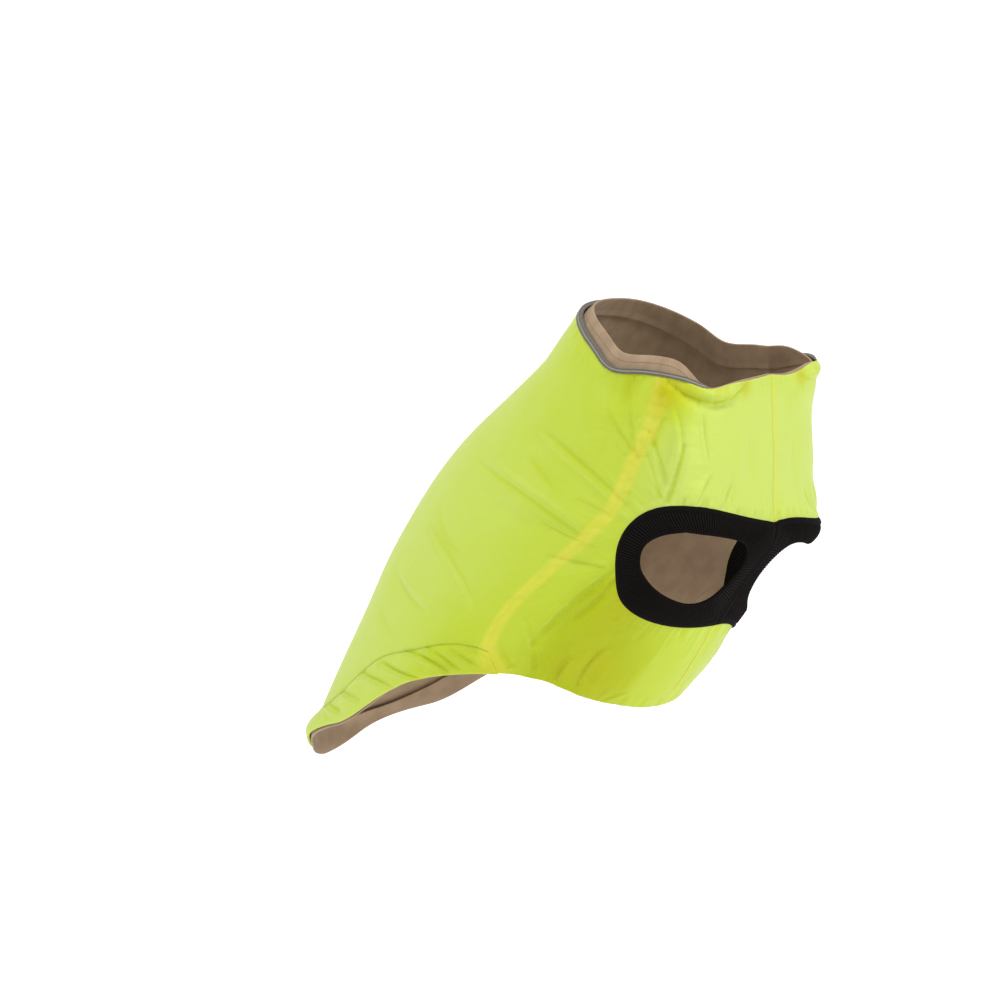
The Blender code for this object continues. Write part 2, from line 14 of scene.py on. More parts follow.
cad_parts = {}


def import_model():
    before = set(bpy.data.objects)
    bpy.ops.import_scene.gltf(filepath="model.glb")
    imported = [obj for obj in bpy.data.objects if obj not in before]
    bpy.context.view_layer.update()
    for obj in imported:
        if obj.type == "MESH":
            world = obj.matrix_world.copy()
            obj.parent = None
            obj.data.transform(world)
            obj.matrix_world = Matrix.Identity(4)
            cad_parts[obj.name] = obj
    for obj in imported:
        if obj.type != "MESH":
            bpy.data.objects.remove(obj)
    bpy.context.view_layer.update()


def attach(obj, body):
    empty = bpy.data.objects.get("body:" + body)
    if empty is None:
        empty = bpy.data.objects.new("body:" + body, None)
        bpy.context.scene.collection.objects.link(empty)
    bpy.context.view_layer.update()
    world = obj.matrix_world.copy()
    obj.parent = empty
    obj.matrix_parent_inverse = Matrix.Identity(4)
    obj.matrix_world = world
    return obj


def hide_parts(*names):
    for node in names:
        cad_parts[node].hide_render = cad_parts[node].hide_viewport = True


MM = 0.001

# ---------------------------------------------------------------- sizes shared with the part's source

SHELL_WALL = 2.0       # nylon, thin filling and lining
SEAM_GAP = 0.06        # between two pieces at a seam
FACING_GAP = 0.8       # between a facing and the cloth it lines
RIB_OUT = 0.9          # the rib knit stands this far out of the form
RIB_WALL = 2.4
CASING_OUT = 0.6
CASING_PUFF = 1.6
CASING_WALL = 2.6
FACING_WALL = 1.2
PIPING_THICK = 3.0
PIPING_TALL = 3.3
PIPING_OUT = 0.8
PIPING_LIFT = 0.2
LEVEL_LENGTH = 265.0   # length of cloth from level 0 to level 1, on the flank
TURN_LENGTH = 365.0    # length of cloth from the spine to the belly line
CLOTH_SCALE = np.array([LEVEL_LENGTH, TURN_LENGTH])
HOLD_LEVEL = 0.16      # where the withers carry the jacket

# level, back_x, back_z, front_x, front_z, wide_x, half_width, back_square, front_square
RINGS = (
    (-0.06, 25, 39, 155, 10, 110, 68, 2.2, 2.8),
    (0.00, 11, 23, 156, -4, 112, 71, 2.2, 2.9),
    (0.12, -20, -10, 157, -32, 119, 76, 2.2, 3.1),
    (0.27, -68, -50, 158, -62, 124, 79, 2.2, 3.1),
    (0.42, -106, -91, 157, -95, 122, 82, 2.2, 3.2),
    (0.51, -124, -116, 154, -115, 112, 82, 2.2, 3.1),
    (0.60, -140, -141, 139, -136, 96, 82, 2.2, 2.7),
    (0.72, -157, -174, 117, -166, 60, 81, 2.2, 2.3),
    (0.86, -181, -219, 93, -203, 8, 79, 2.2, 2.2),
    (1.00, -206, -268, 70, -232, -42, 75, 2.2, 2.2),
    (1.10, -224, -303, 52, -252, -65, 70, 2.2, 2.2),
)

# Edges of the pieces, by turn: turn, level
NECK_EDGE = (
    (0.00, -0.045), (0.15, -0.037), (0.32, -0.003), (0.39, 0.020), (0.45, 0.043), (0.54, 0.036),
    (0.64, 0.026), (0.70, 0.030), (0.75, 0.040), (0.80, 0.029), (0.87, 0.019), (1.00, 0.008),
)
CASING_EDGE = (
    (0.00, 0.957), (0.08, 0.952), (0.145, 0.938), (0.20, 0.893), (0.25, 0.838), (0.33, 0.805),
    (0.42, 0.782), (0.50, 0.784), (0.60, 0.815),
)
HEM_EDGE = (
    (0.00, 1.045), (0.05, 1.036), (0.106, 1.011), (0.157, 0.989), (0.208, 0.976), (0.254, 0.961),
    (0.30, 0.925), (0.36, 0.880), (0.43, 0.855), (0.52, 0.842), (0.62, 0.841), (0.70, 0.857),
    (0.77, 0.894), (0.82, 0.920), (0.87, 0.943), (0.93, 0.967), (1.00, 0.978),
)
# The diagonal side seam: level, turn
SIDE_SEAM = (
    (0.00, 0.628), (0.12, 0.629), (0.25, 0.627), (0.35, 0.623), (0.42, 0.609), (0.51, 0.572),
    (0.60, 0.540), (0.68, 0.520), (0.745, 0.518), (0.79, 0.534), (0.83, 0.574), (0.86, 0.600),
)
# Cloth edge of the armhole, from the chest's middle over the top to the belly's middle: level, turn
ARMHOLE_EDGE = (
    (0.444, 1.000), (0.430, 0.955), (0.412, 0.900), (0.388, 0.835), (0.373, 0.775), (0.378, 0.725),
    (0.400, 0.687), (0.445, 0.660), (0.500, 0.657), (0.563, 0.682), (0.625, 0.722), (0.680, 0.780),
    (0.715, 0.850), (0.732, 0.925), (0.738, 1.000),
)
# Mouth of the rib band, a closed curve: level, turn
ARMHOLE_MOUTH = (
    (0.442, 0.775), (0.453, 0.822), (0.472, 0.880), (0.505, 0.930), (0.555, 0.953), (0.610, 0.953),
    (0.652, 0.935), (0.668, 0.893), (0.655, 0.845), (0.620, 0.790), (0.580, 0.748), (0.535, 0.714),
    (0.492, 0.706), (0.458, 0.732),
)
ARMHOLE_CENTRE = (0.555, 0.830)

# How far the neck facing stands above the neck edge: turn, height
FACING_RISE = (
    (0.00, 8.0), (0.25, 10.0), (0.45, 12.5), (0.60, 13.0), (0.66, 11.5), (0.71, 6.0), (0.76, 1.5),
    (0.85, 1.0), (1.00, 1.0),
)
FACING_LEAN = 0.22     # it leans in by this share of its height
FACING_DEPTH = 4.0     # it reaches this far down inside the shell
PIPING_END = 0.750     # turn where the piping ends
RUMP_FACING_END = 0.32
RUMP_FACING_DROP = 2.2

# The largest folds, as in the part's source
# level_0, turn_0, level_1, turn_1, bow, half_width, height
FOLDS = (
    (0.33, 0.215, 0.48, 0.560, 9, 9, -2.2),
    (0.29, 0.250, 0.42, 0.520, 8, 9, 1.2),
    (0.20, 0.250, 0.28, 0.470, 5, 8, -1.6),
    (0.26, 0.420, 0.46, 0.648, -5, 8, -1.7),
    (0.40, 0.470, 0.50, 0.652, -3, 7, 1.4),
    (0.53, 0.520, 0.55, 0.672, 3, 8, -1.4),
    (0.42, 0.160, 0.60, 0.380, 10, 12, 1.2),
    (0.60, 0.140, 0.72, 0.310, 8, 10, -1.6),
    (0.64, 0.340, 0.76, 0.470, 6, 9, 1.2),
    (0.08, 0.000, 0.08, 0.300, 0, 10, -1.2),
    (0.065, 0.430, 0.100, 0.560, 2, 8, -2.2),
    (0.050, 0.530, 0.150, 0.585, 2, 6, 1.8),
    (0.034, 0.665, 0.034, 0.865, 7, 6, 3.0),
    (0.050, 0.660, 0.050, 0.870, 7, 4, -3.4),
    (0.16, 0.700, 0.37, 0.727, 2, 7, -2.4),
    (0.14, 0.725, 0.36, 0.750, 0, 8, 1.8),
    (0.08, 0.745, 0.25, 0.768, 0, 6, -1.6),
    (0.25, 0.645, 0.36, 0.700, -2, 7, 1.8),
    (0.30, 0.780, 0.38, 0.770, 0, 6, 1.4),
    (0.28, 0.860, 0.40, 0.842, 0, 6, -1.6),
    (0.12, 0.905, 0.42, 0.925, 0, 12, -1.4),
    (0.43, 0.700, 0.50, 1.300, 0, 17, 2.6),
    (0.62, 0.700, 0.77, 0.660, 3, 9, -1.8),
    (0.76, 0.545, 0.85, 0.650, 2, 7, -1.8),
    (0.74, 0.620, 0.86, 0.680, 0, 8, 1.6),
    (0.74, 0.700, 0.87, 0.722, 0, 7, -2.0),
    (0.74, 0.765, 0.90, 0.768, 0, 8, -2.2),
    (0.76, 0.870, 0.94, 0.860, 0, 10, 1.8),
    (0.90, 0.170, 0.98, 0.235, 0, 6, -1.3),
    (0.86, 0.225, 0.93, 0.290, 0, 6, -1.3),
    (0.83, 0.275, 0.88, 0.360, 0, 6, -1.5),
    (0.80, 0.335, 0.86, 0.430, 0, 6, -1.5),
    (0.785, 0.400, 0.85, 0.480, 0, 6, -1.4),
    (0.785, 0.470, 0.85, 0.545, 0, 6, -1.2),
    (0.95, 0.030, 1.04, 0.090, 0, 7, -1.0),
    (1.005, -0.220, 1.005, 0.220, 0, 8, 4.5),
    (1.055, -0.200, 1.055, 0.200, 0, 9, -4.0),
)
LEFT_FOLD_SHIFT = 0.012    # the left side has the same folds, a little moved and shallower
LEFT_FOLD_SHARE = 0.85
LEFT_COLLAR_SHARE = 0.25
COLLAR_FADE = (0.08, 0.20)
# the left side is the same cut, drawn tighter: how far its neck corner lies higher and its armhole
# lower, and the turns and levels between which that sets in
LEFT_NECK_RAISE, NECK_CORNER, NECK_FADE = 0.040, (0.58, 0.94), (0.02, 0.30)
LEFT_ARMHOLE_DROP, LEFT_FLANK, DROP_COMES, DROP_GOES = 0.095, (0.50, 1.00), (0.05, 0.42), (0.66, 0.96)
LEFT_FOLDS = (
    (0.050, 0.600, 0.050, 0.930, 0, 17, 9.5),
    (0.290, 0.640, 0.290, 0.930, 0, 18, -1.6),
    (0.395, 0.660, 0.425, 0.990, 0, 14, 4.5),
)

# ---------------------------------------------------------------- finer creases, for the looks alone

# level_0, turn_0, level_1, turn_1, bow, half_width, height
CREASES = (
    (0.307, 0.254, 0.456, 0.576, -4.1, 2.0, 0.6),
    (0.289, 0.354, 0.374, 0.479, -0.9, 3.6, -1.3),
    (0.436, 0.180, 0.570, 0.358, 5.0, 3.5, -0.8),
    (0.704, 0.153, 0.784, 0.295, 3.0, 3.0, -0.8),
    (0.560, 0.250, 0.690, 0.400, 4.0, 3.0, 0.6),
    (0.202, 0.741, 0.374, 0.746, -2.2, 2.6, 0.9),
    (0.184, 0.904, 0.311, 0.922, 0.0, 2.4, -0.6),
    (0.127, 0.657, 0.224, 0.657, 1.3, 3.6, -1.2),
    # under the roll of the collar
    (0.034, 0.640, 0.071, 0.782, 2.0, 1.6, -2.0),
    (0.073, 0.772, 0.028, 0.872, 2.2, 1.6, -2.0),
    (0.024, 0.690, 0.045, 0.780, 2.0, 3.0, 1.2),
)
# Sharp folds: a trough with a ridge beside it, on the side that the last column gives
# level_0, turn_0, level_1, turn_1, bow, half_width, height, ridge_side
PINCHES = (
    # drawn from the armhole over the side seam into the back
    (0.217, 0.342, 0.401, 0.665, -4.6, 2.6, -1.7, 1),
    (0.324, 0.220, 0.496, 0.603, -4.7, 2.8, -1.4, -1),
    (0.441, 0.453, 0.506, 0.623, 1.7, 1.4, -1.0, -1),
    (0.137, 0.496, 0.267, 0.646, -0.3, 1.8, -1.4, 1),
    (0.541, 0.524, 0.561, 0.665, -0.8, 1.7, -1.2, -1),
    (0.384, 0.528, 0.426, 0.624, -0.9, 1.4, -1.0, -1),
    (0.085, 0.544, 0.247, 0.621, 0.3, 2.0, -1.2, -1),
    # low on the back
    (0.621, 0.154, 0.718, 0.333, 2.5, 3.2, -1.1, -1),
    (0.481, 0.166, 0.706, 0.463, -3.7, 2.6, -1.0, 1),
    # chest
    (0.095, 0.678, 0.222, 0.729, -1.8, 2.2, -1.0, 1),
    (0.192, 0.724, 0.372, 0.728, -2.2, 2.1, -1.9, 1),
    (0.102, 0.746, 0.254, 0.789, -0.2, 1.2, -0.9, 1),
    (0.317, 0.862, 0.377, 0.848, 0.4, 1.4, -1.3, 1),
    (0.287, 0.801, 0.369, 0.780, 0.5, 1.4, -1.2, 1),
    (0.170, 0.630, 0.349, 0.730, -2.2, 1.5, -1.2, 1),
    (0.200, 0.620, 0.372, 0.716, -3.0, 1.3, -1.0, 1),
    # belly
    (0.564, 0.683, 0.790, 0.622, 3.0, 2.8, -1.6, 1),
    (0.584, 0.699, 0.700, 0.671, -2.3, 2.2, -1.1, 1),
    (0.771, 0.769, 0.873, 0.766, 3.2, 2.0, -1.7, -1),
    (0.788, 0.717, 0.855, 0.716, 1.0, 1.8, -1.5, -1),
    (0.706, 0.564, 0.830, 0.667, -3.2, 1.4, -1.2, 1),
    (0.783, 0.555, 0.830, 0.614, 0.1, 1.5, -1.2, 1),
    (0.893, 0.866, 0.923, 0.830, -0.3, 1.2, -0.9, -1),
    # puckers of the hem casing
    (0.940, 0.143, 0.955, 0.225, -0.7, 1.3, -1.6, 1),
    (0.906, 0.172, 0.924, 0.276, -0.3, 1.2, -1.5, 1),
    (0.862, 0.214, 0.890, 0.352, -0.8, 1.3, -1.9, 1),
    (0.832, 0.264, 0.866, 0.424, 0.9, 1.3, -2.0, 1),
    (0.806, 0.320, 0.844, 0.470, -2.1, 1.3, -2.0, 1),
    (0.791, 0.372, 0.837, 0.494, -0.5, 1.2, -1.8, 1),
    (0.788, 0.430, 0.828, 0.530, -0.2, 1.2, -1.6, 1),
    (0.786, 0.474, 0.808, 0.540, -0.5, 1.2, -1.2, 1),
)


class Curve:
    """Natural cubic spline through the rows of a table, against its first column."""

    def __init__(self, table):
        rows = np.array(table, float)
        self.x, self.y = rows[:, 0], rows[:, 1:]
        count, gap = len(self.x), np.diff(self.x)
        matrix, right = np.eye(count), np.zeros_like(self.y)
        slope = np.diff(self.y, axis=0) / gap[:, None]
        for i in range(1, count - 1):
            matrix[i, i - 1:i + 2] = gap[i - 1], 2 * (gap[i - 1] + gap[i]), gap[i]
            right[i] = 6 * (slope[i] - slope[i - 1])
        self.bend = np.linalg.solve(matrix, right)

    def columns(self, at):
        at = np.asarray(at, float)
        i = np.clip(np.searchsorted(self.x, at) - 1, 0, len(self.x) - 2)
        gap = (self.x[i + 1] - self.x[i])[..., None]
        a = (self.x[i + 1] - at)[..., None] / gap
        b = 1 - a
        cubic = (a ** 3 - a) * self.bend[i] + (b ** 3 - b) * self.bend[i + 1]
        return a * self.y[i] + b * self.y[i + 1] + cubic * gap * gap / 6

    def __call__(self, at):
        return self.columns(at)[..., 0]


def run_length(line):
    """Length along a line of points, from its first one to each of them."""
    return np.concatenate([[0], np.cumsum(np.linalg.norm(np.diff(line, axis=0), axis=1))])


def read_at(where, length, rows):
    """Points of a line at lengths along it."""
    return np.stack([np.interp(where, length, column) for column in rows.T], -1)


def cloth_run(level_0, turn_0, level_1, turn_1):
    """Millimetres of cloth down and round from one place to another."""
    return (level_1 - level_0) * LEVEL_LENGTH, (turn_1 - turn_0) * TURN_LENGTH


RING_CURVE = Curve(RINGS)
NECK, CASING, HEM, SEAM = Curve(NECK_EDGE), Curve(CASING_EDGE), Curve(HEM_EDGE), Curve(SIDE_SEAM)


def ring_point(level, angle):
    """Point of a ring in millimetres; the angle runs from the back over the +Y side to the front."""
    ring = np.moveaxis(RING_CURVE.columns(level), -1, 0)
    back_x, back_z, front_x, front_z, wide_x, half_width, back_square, front_square = ring
    lengthwise, sideways = np.cos(angle), np.sin(angle)
    at_back = lengthwise >= 0
    reach = np.where(at_back, wide_x - back_x, front_x - wide_x)
    square = np.where(at_back, back_square, front_square)
    shape = np.abs(lengthwise / reach) ** square + np.abs(sideways / half_width) ** square
    radius = shape ** (-1 / square)
    x = wide_x - radius * lengthwise
    z = back_z + (front_z - back_z) * (x - back_x) / (front_x - back_x)
    return np.stack([x, radius * sideways, z], -1)


LATTICE_ROWS, LATTICE_COLUMNS, RING_STEPS = 117, 129, 721


def turn_angles():
    """Ring angle for each level and turn of a fine lattice, by equal lengths of cloth."""
    levels = np.linspace(RINGS[0][0], RINGS[-1][0], LATTICE_ROWS)
    turns = np.linspace(0, 1, LATTICE_COLUMNS)
    angles = np.linspace(0, np.pi, RING_STEPS)
    lattice, girths = [], []
    for level in levels:
        length = run_length(ring_point(np.full_like(angles, level), angles))
        lattice.append(np.interp(turns * length[-1], length, angles))
        girths.append(length[-1])
    return levels, turns, np.array(lattice), np.array(girths)


LATTICE_LEVELS, LATTICE_TURNS, LATTICE_ANGLES, HALF_GIRTHS = turn_angles()


def lattice_angle(level, turn):
    """Ring angle at a place, smooth between the lattice's points."""
    i = (level - LATTICE_LEVELS[0]) / (LATTICE_LEVELS[1] - LATTICE_LEVELS[0])
    j = np.abs(turn) / (LATTICE_TURNS[1] - LATTICE_TURNS[0])
    i = np.clip(i, 0, len(LATTICE_LEVELS) - 1.001)
    j = np.clip(j, 0, len(LATTICE_TURNS) - 1.001)
    row, column = i.astype(int), j.astype(int)
    a, b = i - row, j - column
    near = (1 - b) * LATTICE_ANGLES[row, column] + b * LATTICE_ANGLES[row, column + 1]
    far = (1 - b) * LATTICE_ANGLES[row + 1, column] + b * LATTICE_ANGLES[row + 1, column + 1]
    return (1 - a) * near + a * far


def form_point(level, turn):
    """Bare form, in millimetres."""
    level, turn = np.broadcast_arrays(np.asarray(level, float), np.asarray(turn, float))
    return ring_point(level, np.sign(turn) * lattice_angle(level, turn))


NORMAL_STEP = 0.006    # levels and turns between the places that give a normal


def outward(level, turn):
    """Unit normal of the form."""
    step = NORMAL_STEP
    side = np.where(turn < 0, -1.0, 1.0)
    low, high = np.clip(np.abs(turn) - step, 0, 1), np.clip(np.abs(turn) + step, 0, 1)
    down = form_point(level + step, turn) - form_point(level - step, turn)
    round_ = form_point(level, side * high) - form_point(level, side * low)
    normal = np.cross(round_, down) * side[..., None]
    # the middle plane has no sideways part
    normal[..., 1] = np.where((np.abs(turn) < 1e-6) | (np.abs(turn) > 1 - 1e-6), 0, normal[..., 1])
    return normal / np.linalg.norm(normal, axis=-1, keepdims=True)


def fold_height(level, turn, fold, edge=2.0, ending=0.8):
    """Height of one fold: a soft ridge or trough along a bowed line, fading out at both ends; an edge
    below 2 makes its crest sharper, and a lower ending makes it fade later."""
    level_0, turn_0, level_1, turn_1, bow, half_width, height = fold
    u, v = cloth_run(level_0, turn_0, level, turn)
    along_u, along_v = cloth_run(level_0, turn_0, level_1, turn_1)
    length = np.hypot(along_u, along_v)
    t = (u * along_u + v * along_v) / length ** 2
    inside = np.clip(t, 0, 1)
    across = (u * along_v - v * along_u) / length - bow * 4 * inside * (1 - inside)
    fade = np.sin(np.pi * inside) ** ending
    return height * fade * np.exp(-np.abs(across / half_width) ** edge)


def uneven(i, k):
    """Fixed number from 0 to 1 that looks random, for place i and use k."""
    return (np.sin(i * 12.9898 + k * 78.233) * 43758.5453) % 1.0


def point_on(table, share):
    """Place at a share of the length of a table's line."""
    rows = np.array(table, float)
    length = run_length(rows * CLOTH_SCALE)
    return read_at(share * length[-1], length, rows)


def stroke(start, direction, length, bow, half_width, height):
    """Row of a crease from a place, in a direction given in millimetres of cloth."""
    end = start + np.array(direction) / np.hypot(*direction) * length / CLOTH_SCALE
    return (*start, *end, bow, half_width, height)


RIDGE_OFFSET, RIDGE_WIDTH, RIDGE_HEIGHT = 1.7, 0.9, -0.75    # as shares of the trough's width and height


def ridge_beside(pinch):
    """Row of the ridge that runs beside a sharp fold's trough."""
    *ends, bow, half_width, height, side = pinch
    along_u, along_v = cloth_run(*ends)
    away = side * RIDGE_OFFSET * half_width / np.hypot(along_u, along_v)
    up, round_ = away * along_v / LEVEL_LENGTH, -away * along_u / TURN_LENGTH
    moved = np.array(ends) + (up, round_, up, round_)
    return (*moved, bow, RIDGE_WIDTH * half_width, RIDGE_HEIGHT * height)


# Short creases where the cloth is drawn in at an edge; they run down (1) or up (-1) from it, and lean.
# Of each pair of numbers the first is the least, and the second is what is added unevenly.
# edge, key, count, first, span, jitter, down, lean, length, longer, height, higher, half_width, wider
EDGE_GATHERS = (
    ("armhole", 10, 40, 0.01, 0.30, 0.7, -1, 0.5, 5, 20, 0.15, 0.32, 0.9, 0.9),
    ("armhole", 20, 20, 0.68, 0.31, 0.6, 1, 0.5, 8, 26, 0.15, 0.30, 1.1, 1.0),
    ("neck", 50, 44, 0.02, 0.97, 0.7, 1, 0.6, 5, 15, 0.14, 0.26, 1.1, 1.0),
    ("hem", 60, 26, 0.60, 0.39, 0.7, -1, 0.7, 7, 24, 0.18, 0.32, 1.1, 1.0),
)
EDGE_PLACES = {
    "armhole": lambda share: point_on(ARMHOLE_EDGE, share),
    "neck": lambda turn: np.array([float(NECK(turn)), turn]),
    "hem": lambda turn: np.array([float(HEM(turn)), turn]),
}
GATHER_DEPTH = 2.0     # every gather is this many times as deep as the heights given here
TROUGH_SHARE = 0.6     # share of the gathers that are troughs
RIDGE_SHARE = 0.8      # the others are ridges, this much of a trough's height
FAN_COUNT, SEAM_COUNT, SPINE_PUCKERS = 34, 36, 5


def trough_or_ridge(i, key):
    return -1 if uneven(i, key) < TROUGH_SHARE else RIDGE_SHARE


def edge_gathers(edge, key, count, first, span, jitter, down, lean, *sizes):
    length, longer, height, higher, half_width, wider = sizes
    for i in range(count):
        start = EDGE_PLACES[edge](first + span * (i + jitter * uneven(i, key + 1)) / count)
        reach = length + longer * uneven(i, key + 2) ** 2
        rise = (height + higher * uneven(i, key + 3)) * trough_or_ridge(i, key + 4)
        direction = down, lean * (uneven(i, key + 5) - 0.5)
        yield stroke(start, direction, reach, 0, half_width + wider * uneven(i, key + 6), rise)


def armhole_fan():
    """Creases that fan out from the back of the armhole, over the side seam, ever lower and shallower."""
    for i in range(FAN_COUNT):
        start = point_on(ARMHOLE_EDGE, 0.33 + 0.34 * (i + 0.6 * uneven(i, 1)) / FAN_COUNT)
        droop = 12 * (uneven(i, 2) - 0.6) + 60 * (i / FAN_COUNT) ** 2
        away = (start - ARMHOLE_CENTRE - (0, 0.05)) * CLOTH_SCALE + (droop, 0)
        height = (0.14 + 0.34 * uneven(i, 4)) * (1 - 0.02 * i) * (-1 if uneven(i, 5) < 0.5 else 0.9)
        bow, half_width = 3 * (uneven(i, 6) - 0.5), 1.0 + 1.2 * uneven(i, 7)
        yield stroke(start, away, 16 + 62 * uneven(i, 3) ** 2, bow, half_width, height)


def spine_puckers():
    """Slanted puckers of the casing beside the spine."""
    for i in range(SPINE_PUCKERS):
        turn = 0.008 + 0.028 * (i + 0.5 * uneven(i, 31))
        start = np.array([float(CASING(turn)) + 0.004, turn])
        yield stroke(start, (0.25, 1), 20 + 12 * uneven(i, 33), 0, 1.4, -0.45 - 0.2 * uneven(i, 34))


def seam_gathers():
    """Short creases across the side seam."""
    for i in range(SEAM_COUNT):
        level = 0.05 + 0.76 * (i + 0.7 * uneven(i, 41)) / SEAM_COUNT
        length = 9 + 16 * uneven(i, 42)
        start = np.array([level, float(SEAM(level)) - 0.5 * length / TURN_LENGTH])
        height = (0.12 + 0.26 * uneven(i, 43)) * trough_or_ridge(i, 44)
        yield stroke(start, (0.5 * (uneven(i, 45) - 0.3), 1), length, 0, 1.0 + uneven(i, 46), height)


def gathers():
    """Short creases where the cloth is drawn in at its seams; no two are alike."""
    rows = [*armhole_fan(), *spine_puckers(), *seam_gathers()]
    for family in EDGE_GATHERS:
        rows += edge_gathers(*family)
    return [(*row[:-1], GATHER_DEPTH * row[-1]) for row in rows]


FINE = [*CREASES, *(pinch[:-1] for pinch in PINCHES), *map(ridge_beside, PINCHES), *gathers()]
FOLD_EDGE, CREASE_EDGE, CREASE_ENDING = 1.6, 1.3, 0.35    # what fold_height takes for edge and ending


def strokes(level, reach, rows):
    """Sum of many small creases, each worked out only near its own line."""
    total = np.zeros(level.shape)
    flat_level, flat_reach, flat_total = level.ravel(), reach.ravel(), total.ravel()
    for row in rows:
        margin = 3 * row[5] + abs(row[4])
        low, high = sorted((row[0], row[2]))
        near, far = sorted((row[1], row[3]))
        inside = (flat_level > low - margin / LEVEL_LENGTH) & (flat_level < high + margin / LEVEL_LENGTH)
        inside &= (flat_reach > near - margin / TURN_LENGTH) & (flat_reach < far + margin / TURN_LENGTH)
        chosen = np.flatnonzero(inside)
        places = flat_level[chosen], flat_reach[chosen]
        flat_total[chosen] += fold_height(*places, row, CREASE_EDGE, CREASE_ENDING)
    return flat_total.reshape(level.shape)


def linear_step(value, ends):
    return np.clip((value - ends[0]) / (ends[1] - ends[0]), 0, 1)


def smooth_step(value, ends):
    share = linear_step(value, ends)
    return share * share * (3 - 2 * share)


def hump(value, ends):
    return np.sin(np.pi * linear_step(value, ends)) ** 2


def fold_reach(level, turn):
    """Turn at which a fold's row is read, and the share of its height that it has there."""
    left = np.sin(np.pi * np.clip(turn, 0, 1))
    least = LEFT_COLLAR_SHARE + (LEFT_FOLD_SHARE - LEFT_COLLAR_SHARE) * smooth_step(level, COLLAR_FADE)
    return np.abs(turn) - LEFT_FOLD_SHIFT * left, 1 - (1 - least) * left


def small_creases(level, turn):
    reach, share = fold_reach(level, turn)
    return share * strokes(level, reach, FINE)


def relief(level, turn, fine):
    """Height of the folds over the form, in millimetres; fine adds the small creases."""
    reach, share = fold_reach(level, turn)
    own = sum(fold_height(level, np.abs(turn), fold) for fold in LEFT_FOLDS)
    height = share * sum(fold_height(level, reach, fold, FOLD_EDGE if fine else 2.0) for fold in FOLDS)
    height = height + np.where(turn > 0, own, 0)
    return height + small_creases(level, turn) if fine else height


def lining_lift(level, turn):
    """The lining keeps the large folds alone, and dips where a crease would come through it."""
    return np.minimum(0, small_creases(level, turn) + SHELL_WALL / 2) - SHELL_WALL


def settled(level, turn):
    """Level of the form where a place of the cut comes to lie; on the right side it is the same."""
    raised = LEFT_NECK_RAISE * hump(turn, NECK_CORNER) * (1 - smooth_step(level, NECK_FADE))
    reach = smooth_step(level, DROP_COMES) - smooth_step(level, DROP_GOES)
    return level - raised + LEFT_ARMHOLE_DROP * hump(turn, LEFT_FLANK) * reach


def laid(level, turn, lift, fine=True):
    """Point of the worn cloth in millimetres, lifted off its outer face."""
    level, turn, lift = (np.array(v) for v in np.broadcast_arrays(level, turn, lift))
    height, seat = relief(level, turn, fine) + lift, settled(level, turn)
    return form_point(seat, turn) + outward(seat, turn) * height[..., None]


# The origin is on the lining where the withers carry the jacket.
HOLD_POINT = laid(HOLD_LEVEL, 0.0, -SHELL_WALL, fine=False)

# ---------------------------------------------------------------- grids of the pieces


def patch(top, bottom, left, right, down, across):
    """Levels and turns of a grid that fills four edges, each a list of (level, turn)."""
    down, across = down[:, None, None], across[None, :, None]
    sides = (1 - across) * left[:, None] + across * right[:, None]
    ends = (1 - down) * top[None] + down * bottom[None]
    first = (1 - across) * left[0] + across * right[0]
    last = (1 - across) * left[-1] + across * right[-1]
    grid = sides + ends - (1 - down) * first - down * last
    return grid[..., 0], grid[..., 1]


def along(edge, turns):
    return np.column_stack([edge(turns), turns])


def edge_line(points, share):
    """Places at shares of the cloth length along a smooth line through a table of (level, turn)."""
    table = np.array(points, float)
    length = run_length(table * CLOTH_SCALE)
    fine = Curve(np.column_stack([length, table])).columns(np.linspace(0, length[-1], 2000))
    length = run_length(fine * CLOTH_SCALE)
    return read_at(share * length[-1], length, fine)


def crossing(edge):
    """Level and turn where the side seam meets an edge."""
    level = 0.5
    for _ in range(40):
        level = float(edge(SEAM(level)))
    return level, float(SEAM(level))


def spine_grid(upper, lower, rows, columns):
    """Levels and turns of a piece that crosses the spine, from seam to seam between two edges; its
    columns stand closer towards the seams, where the folds are."""
    (top, top_turn), (bottom, bottom_turn) = crossing(upper), crossing(lower)
    across, down = np.linspace(0, 1, columns + 1), np.linspace(0, 1, rows + 1)
    across = across + 0.35 * np.sin(np.pi * across) / np.pi
    seam_level = top + (bottom - top) * down
    seam = np.column_stack([seam_level, SEAM(seam_level)])
    spine = np.column_stack([(1 - down) * upper(0.0) + down * lower(0.0), np.zeros(len(seam))])
    edges = along(upper, across * top_turn), along(lower, across * bottom_turn)
    level, turn = patch(*edges, spine, seam, down, across)
    return np.hstack([level[:, :0:-1], level]), np.hstack([-turn[:, :0:-1], turn])


ARMHOLE_CORNERS = (0.32, 0.70)


def side_grid(neck_steps, seam_steps, hem_steps, inward_steps):
    """Levels and turns of a side piece: a row for each spoke from its outer edges to the armhole."""
    counts = neck_steps, seam_steps, hem_steps
    seam_level = np.linspace(crossing(NECK)[0], crossing(HEM)[0], seam_steps + 1)
    seam = np.column_stack([seam_level, SEAM(seam_level)])
    neck = along(NECK, np.linspace(1, seam[0, 1], neck_steps + 1))
    hem = along(HEM, np.linspace(seam[-1, 1], 1, hem_steps + 1))
    outer = np.concatenate([neck, seam[1:-1], hem])
    share = np.interp(np.arange(sum(counts) + 1), np.cumsum((0, *counts)), (0, *ARMHOLE_CORNERS, 1))
    inward = np.linspace(0, 1, inward_steps + 1)[:, None]
    grid = (1 - inward) * outer[:, None] + inward * edge_line(ARMHOLE_EDGE, share)[:, None]
    return grid[..., 0], grid[..., 1]


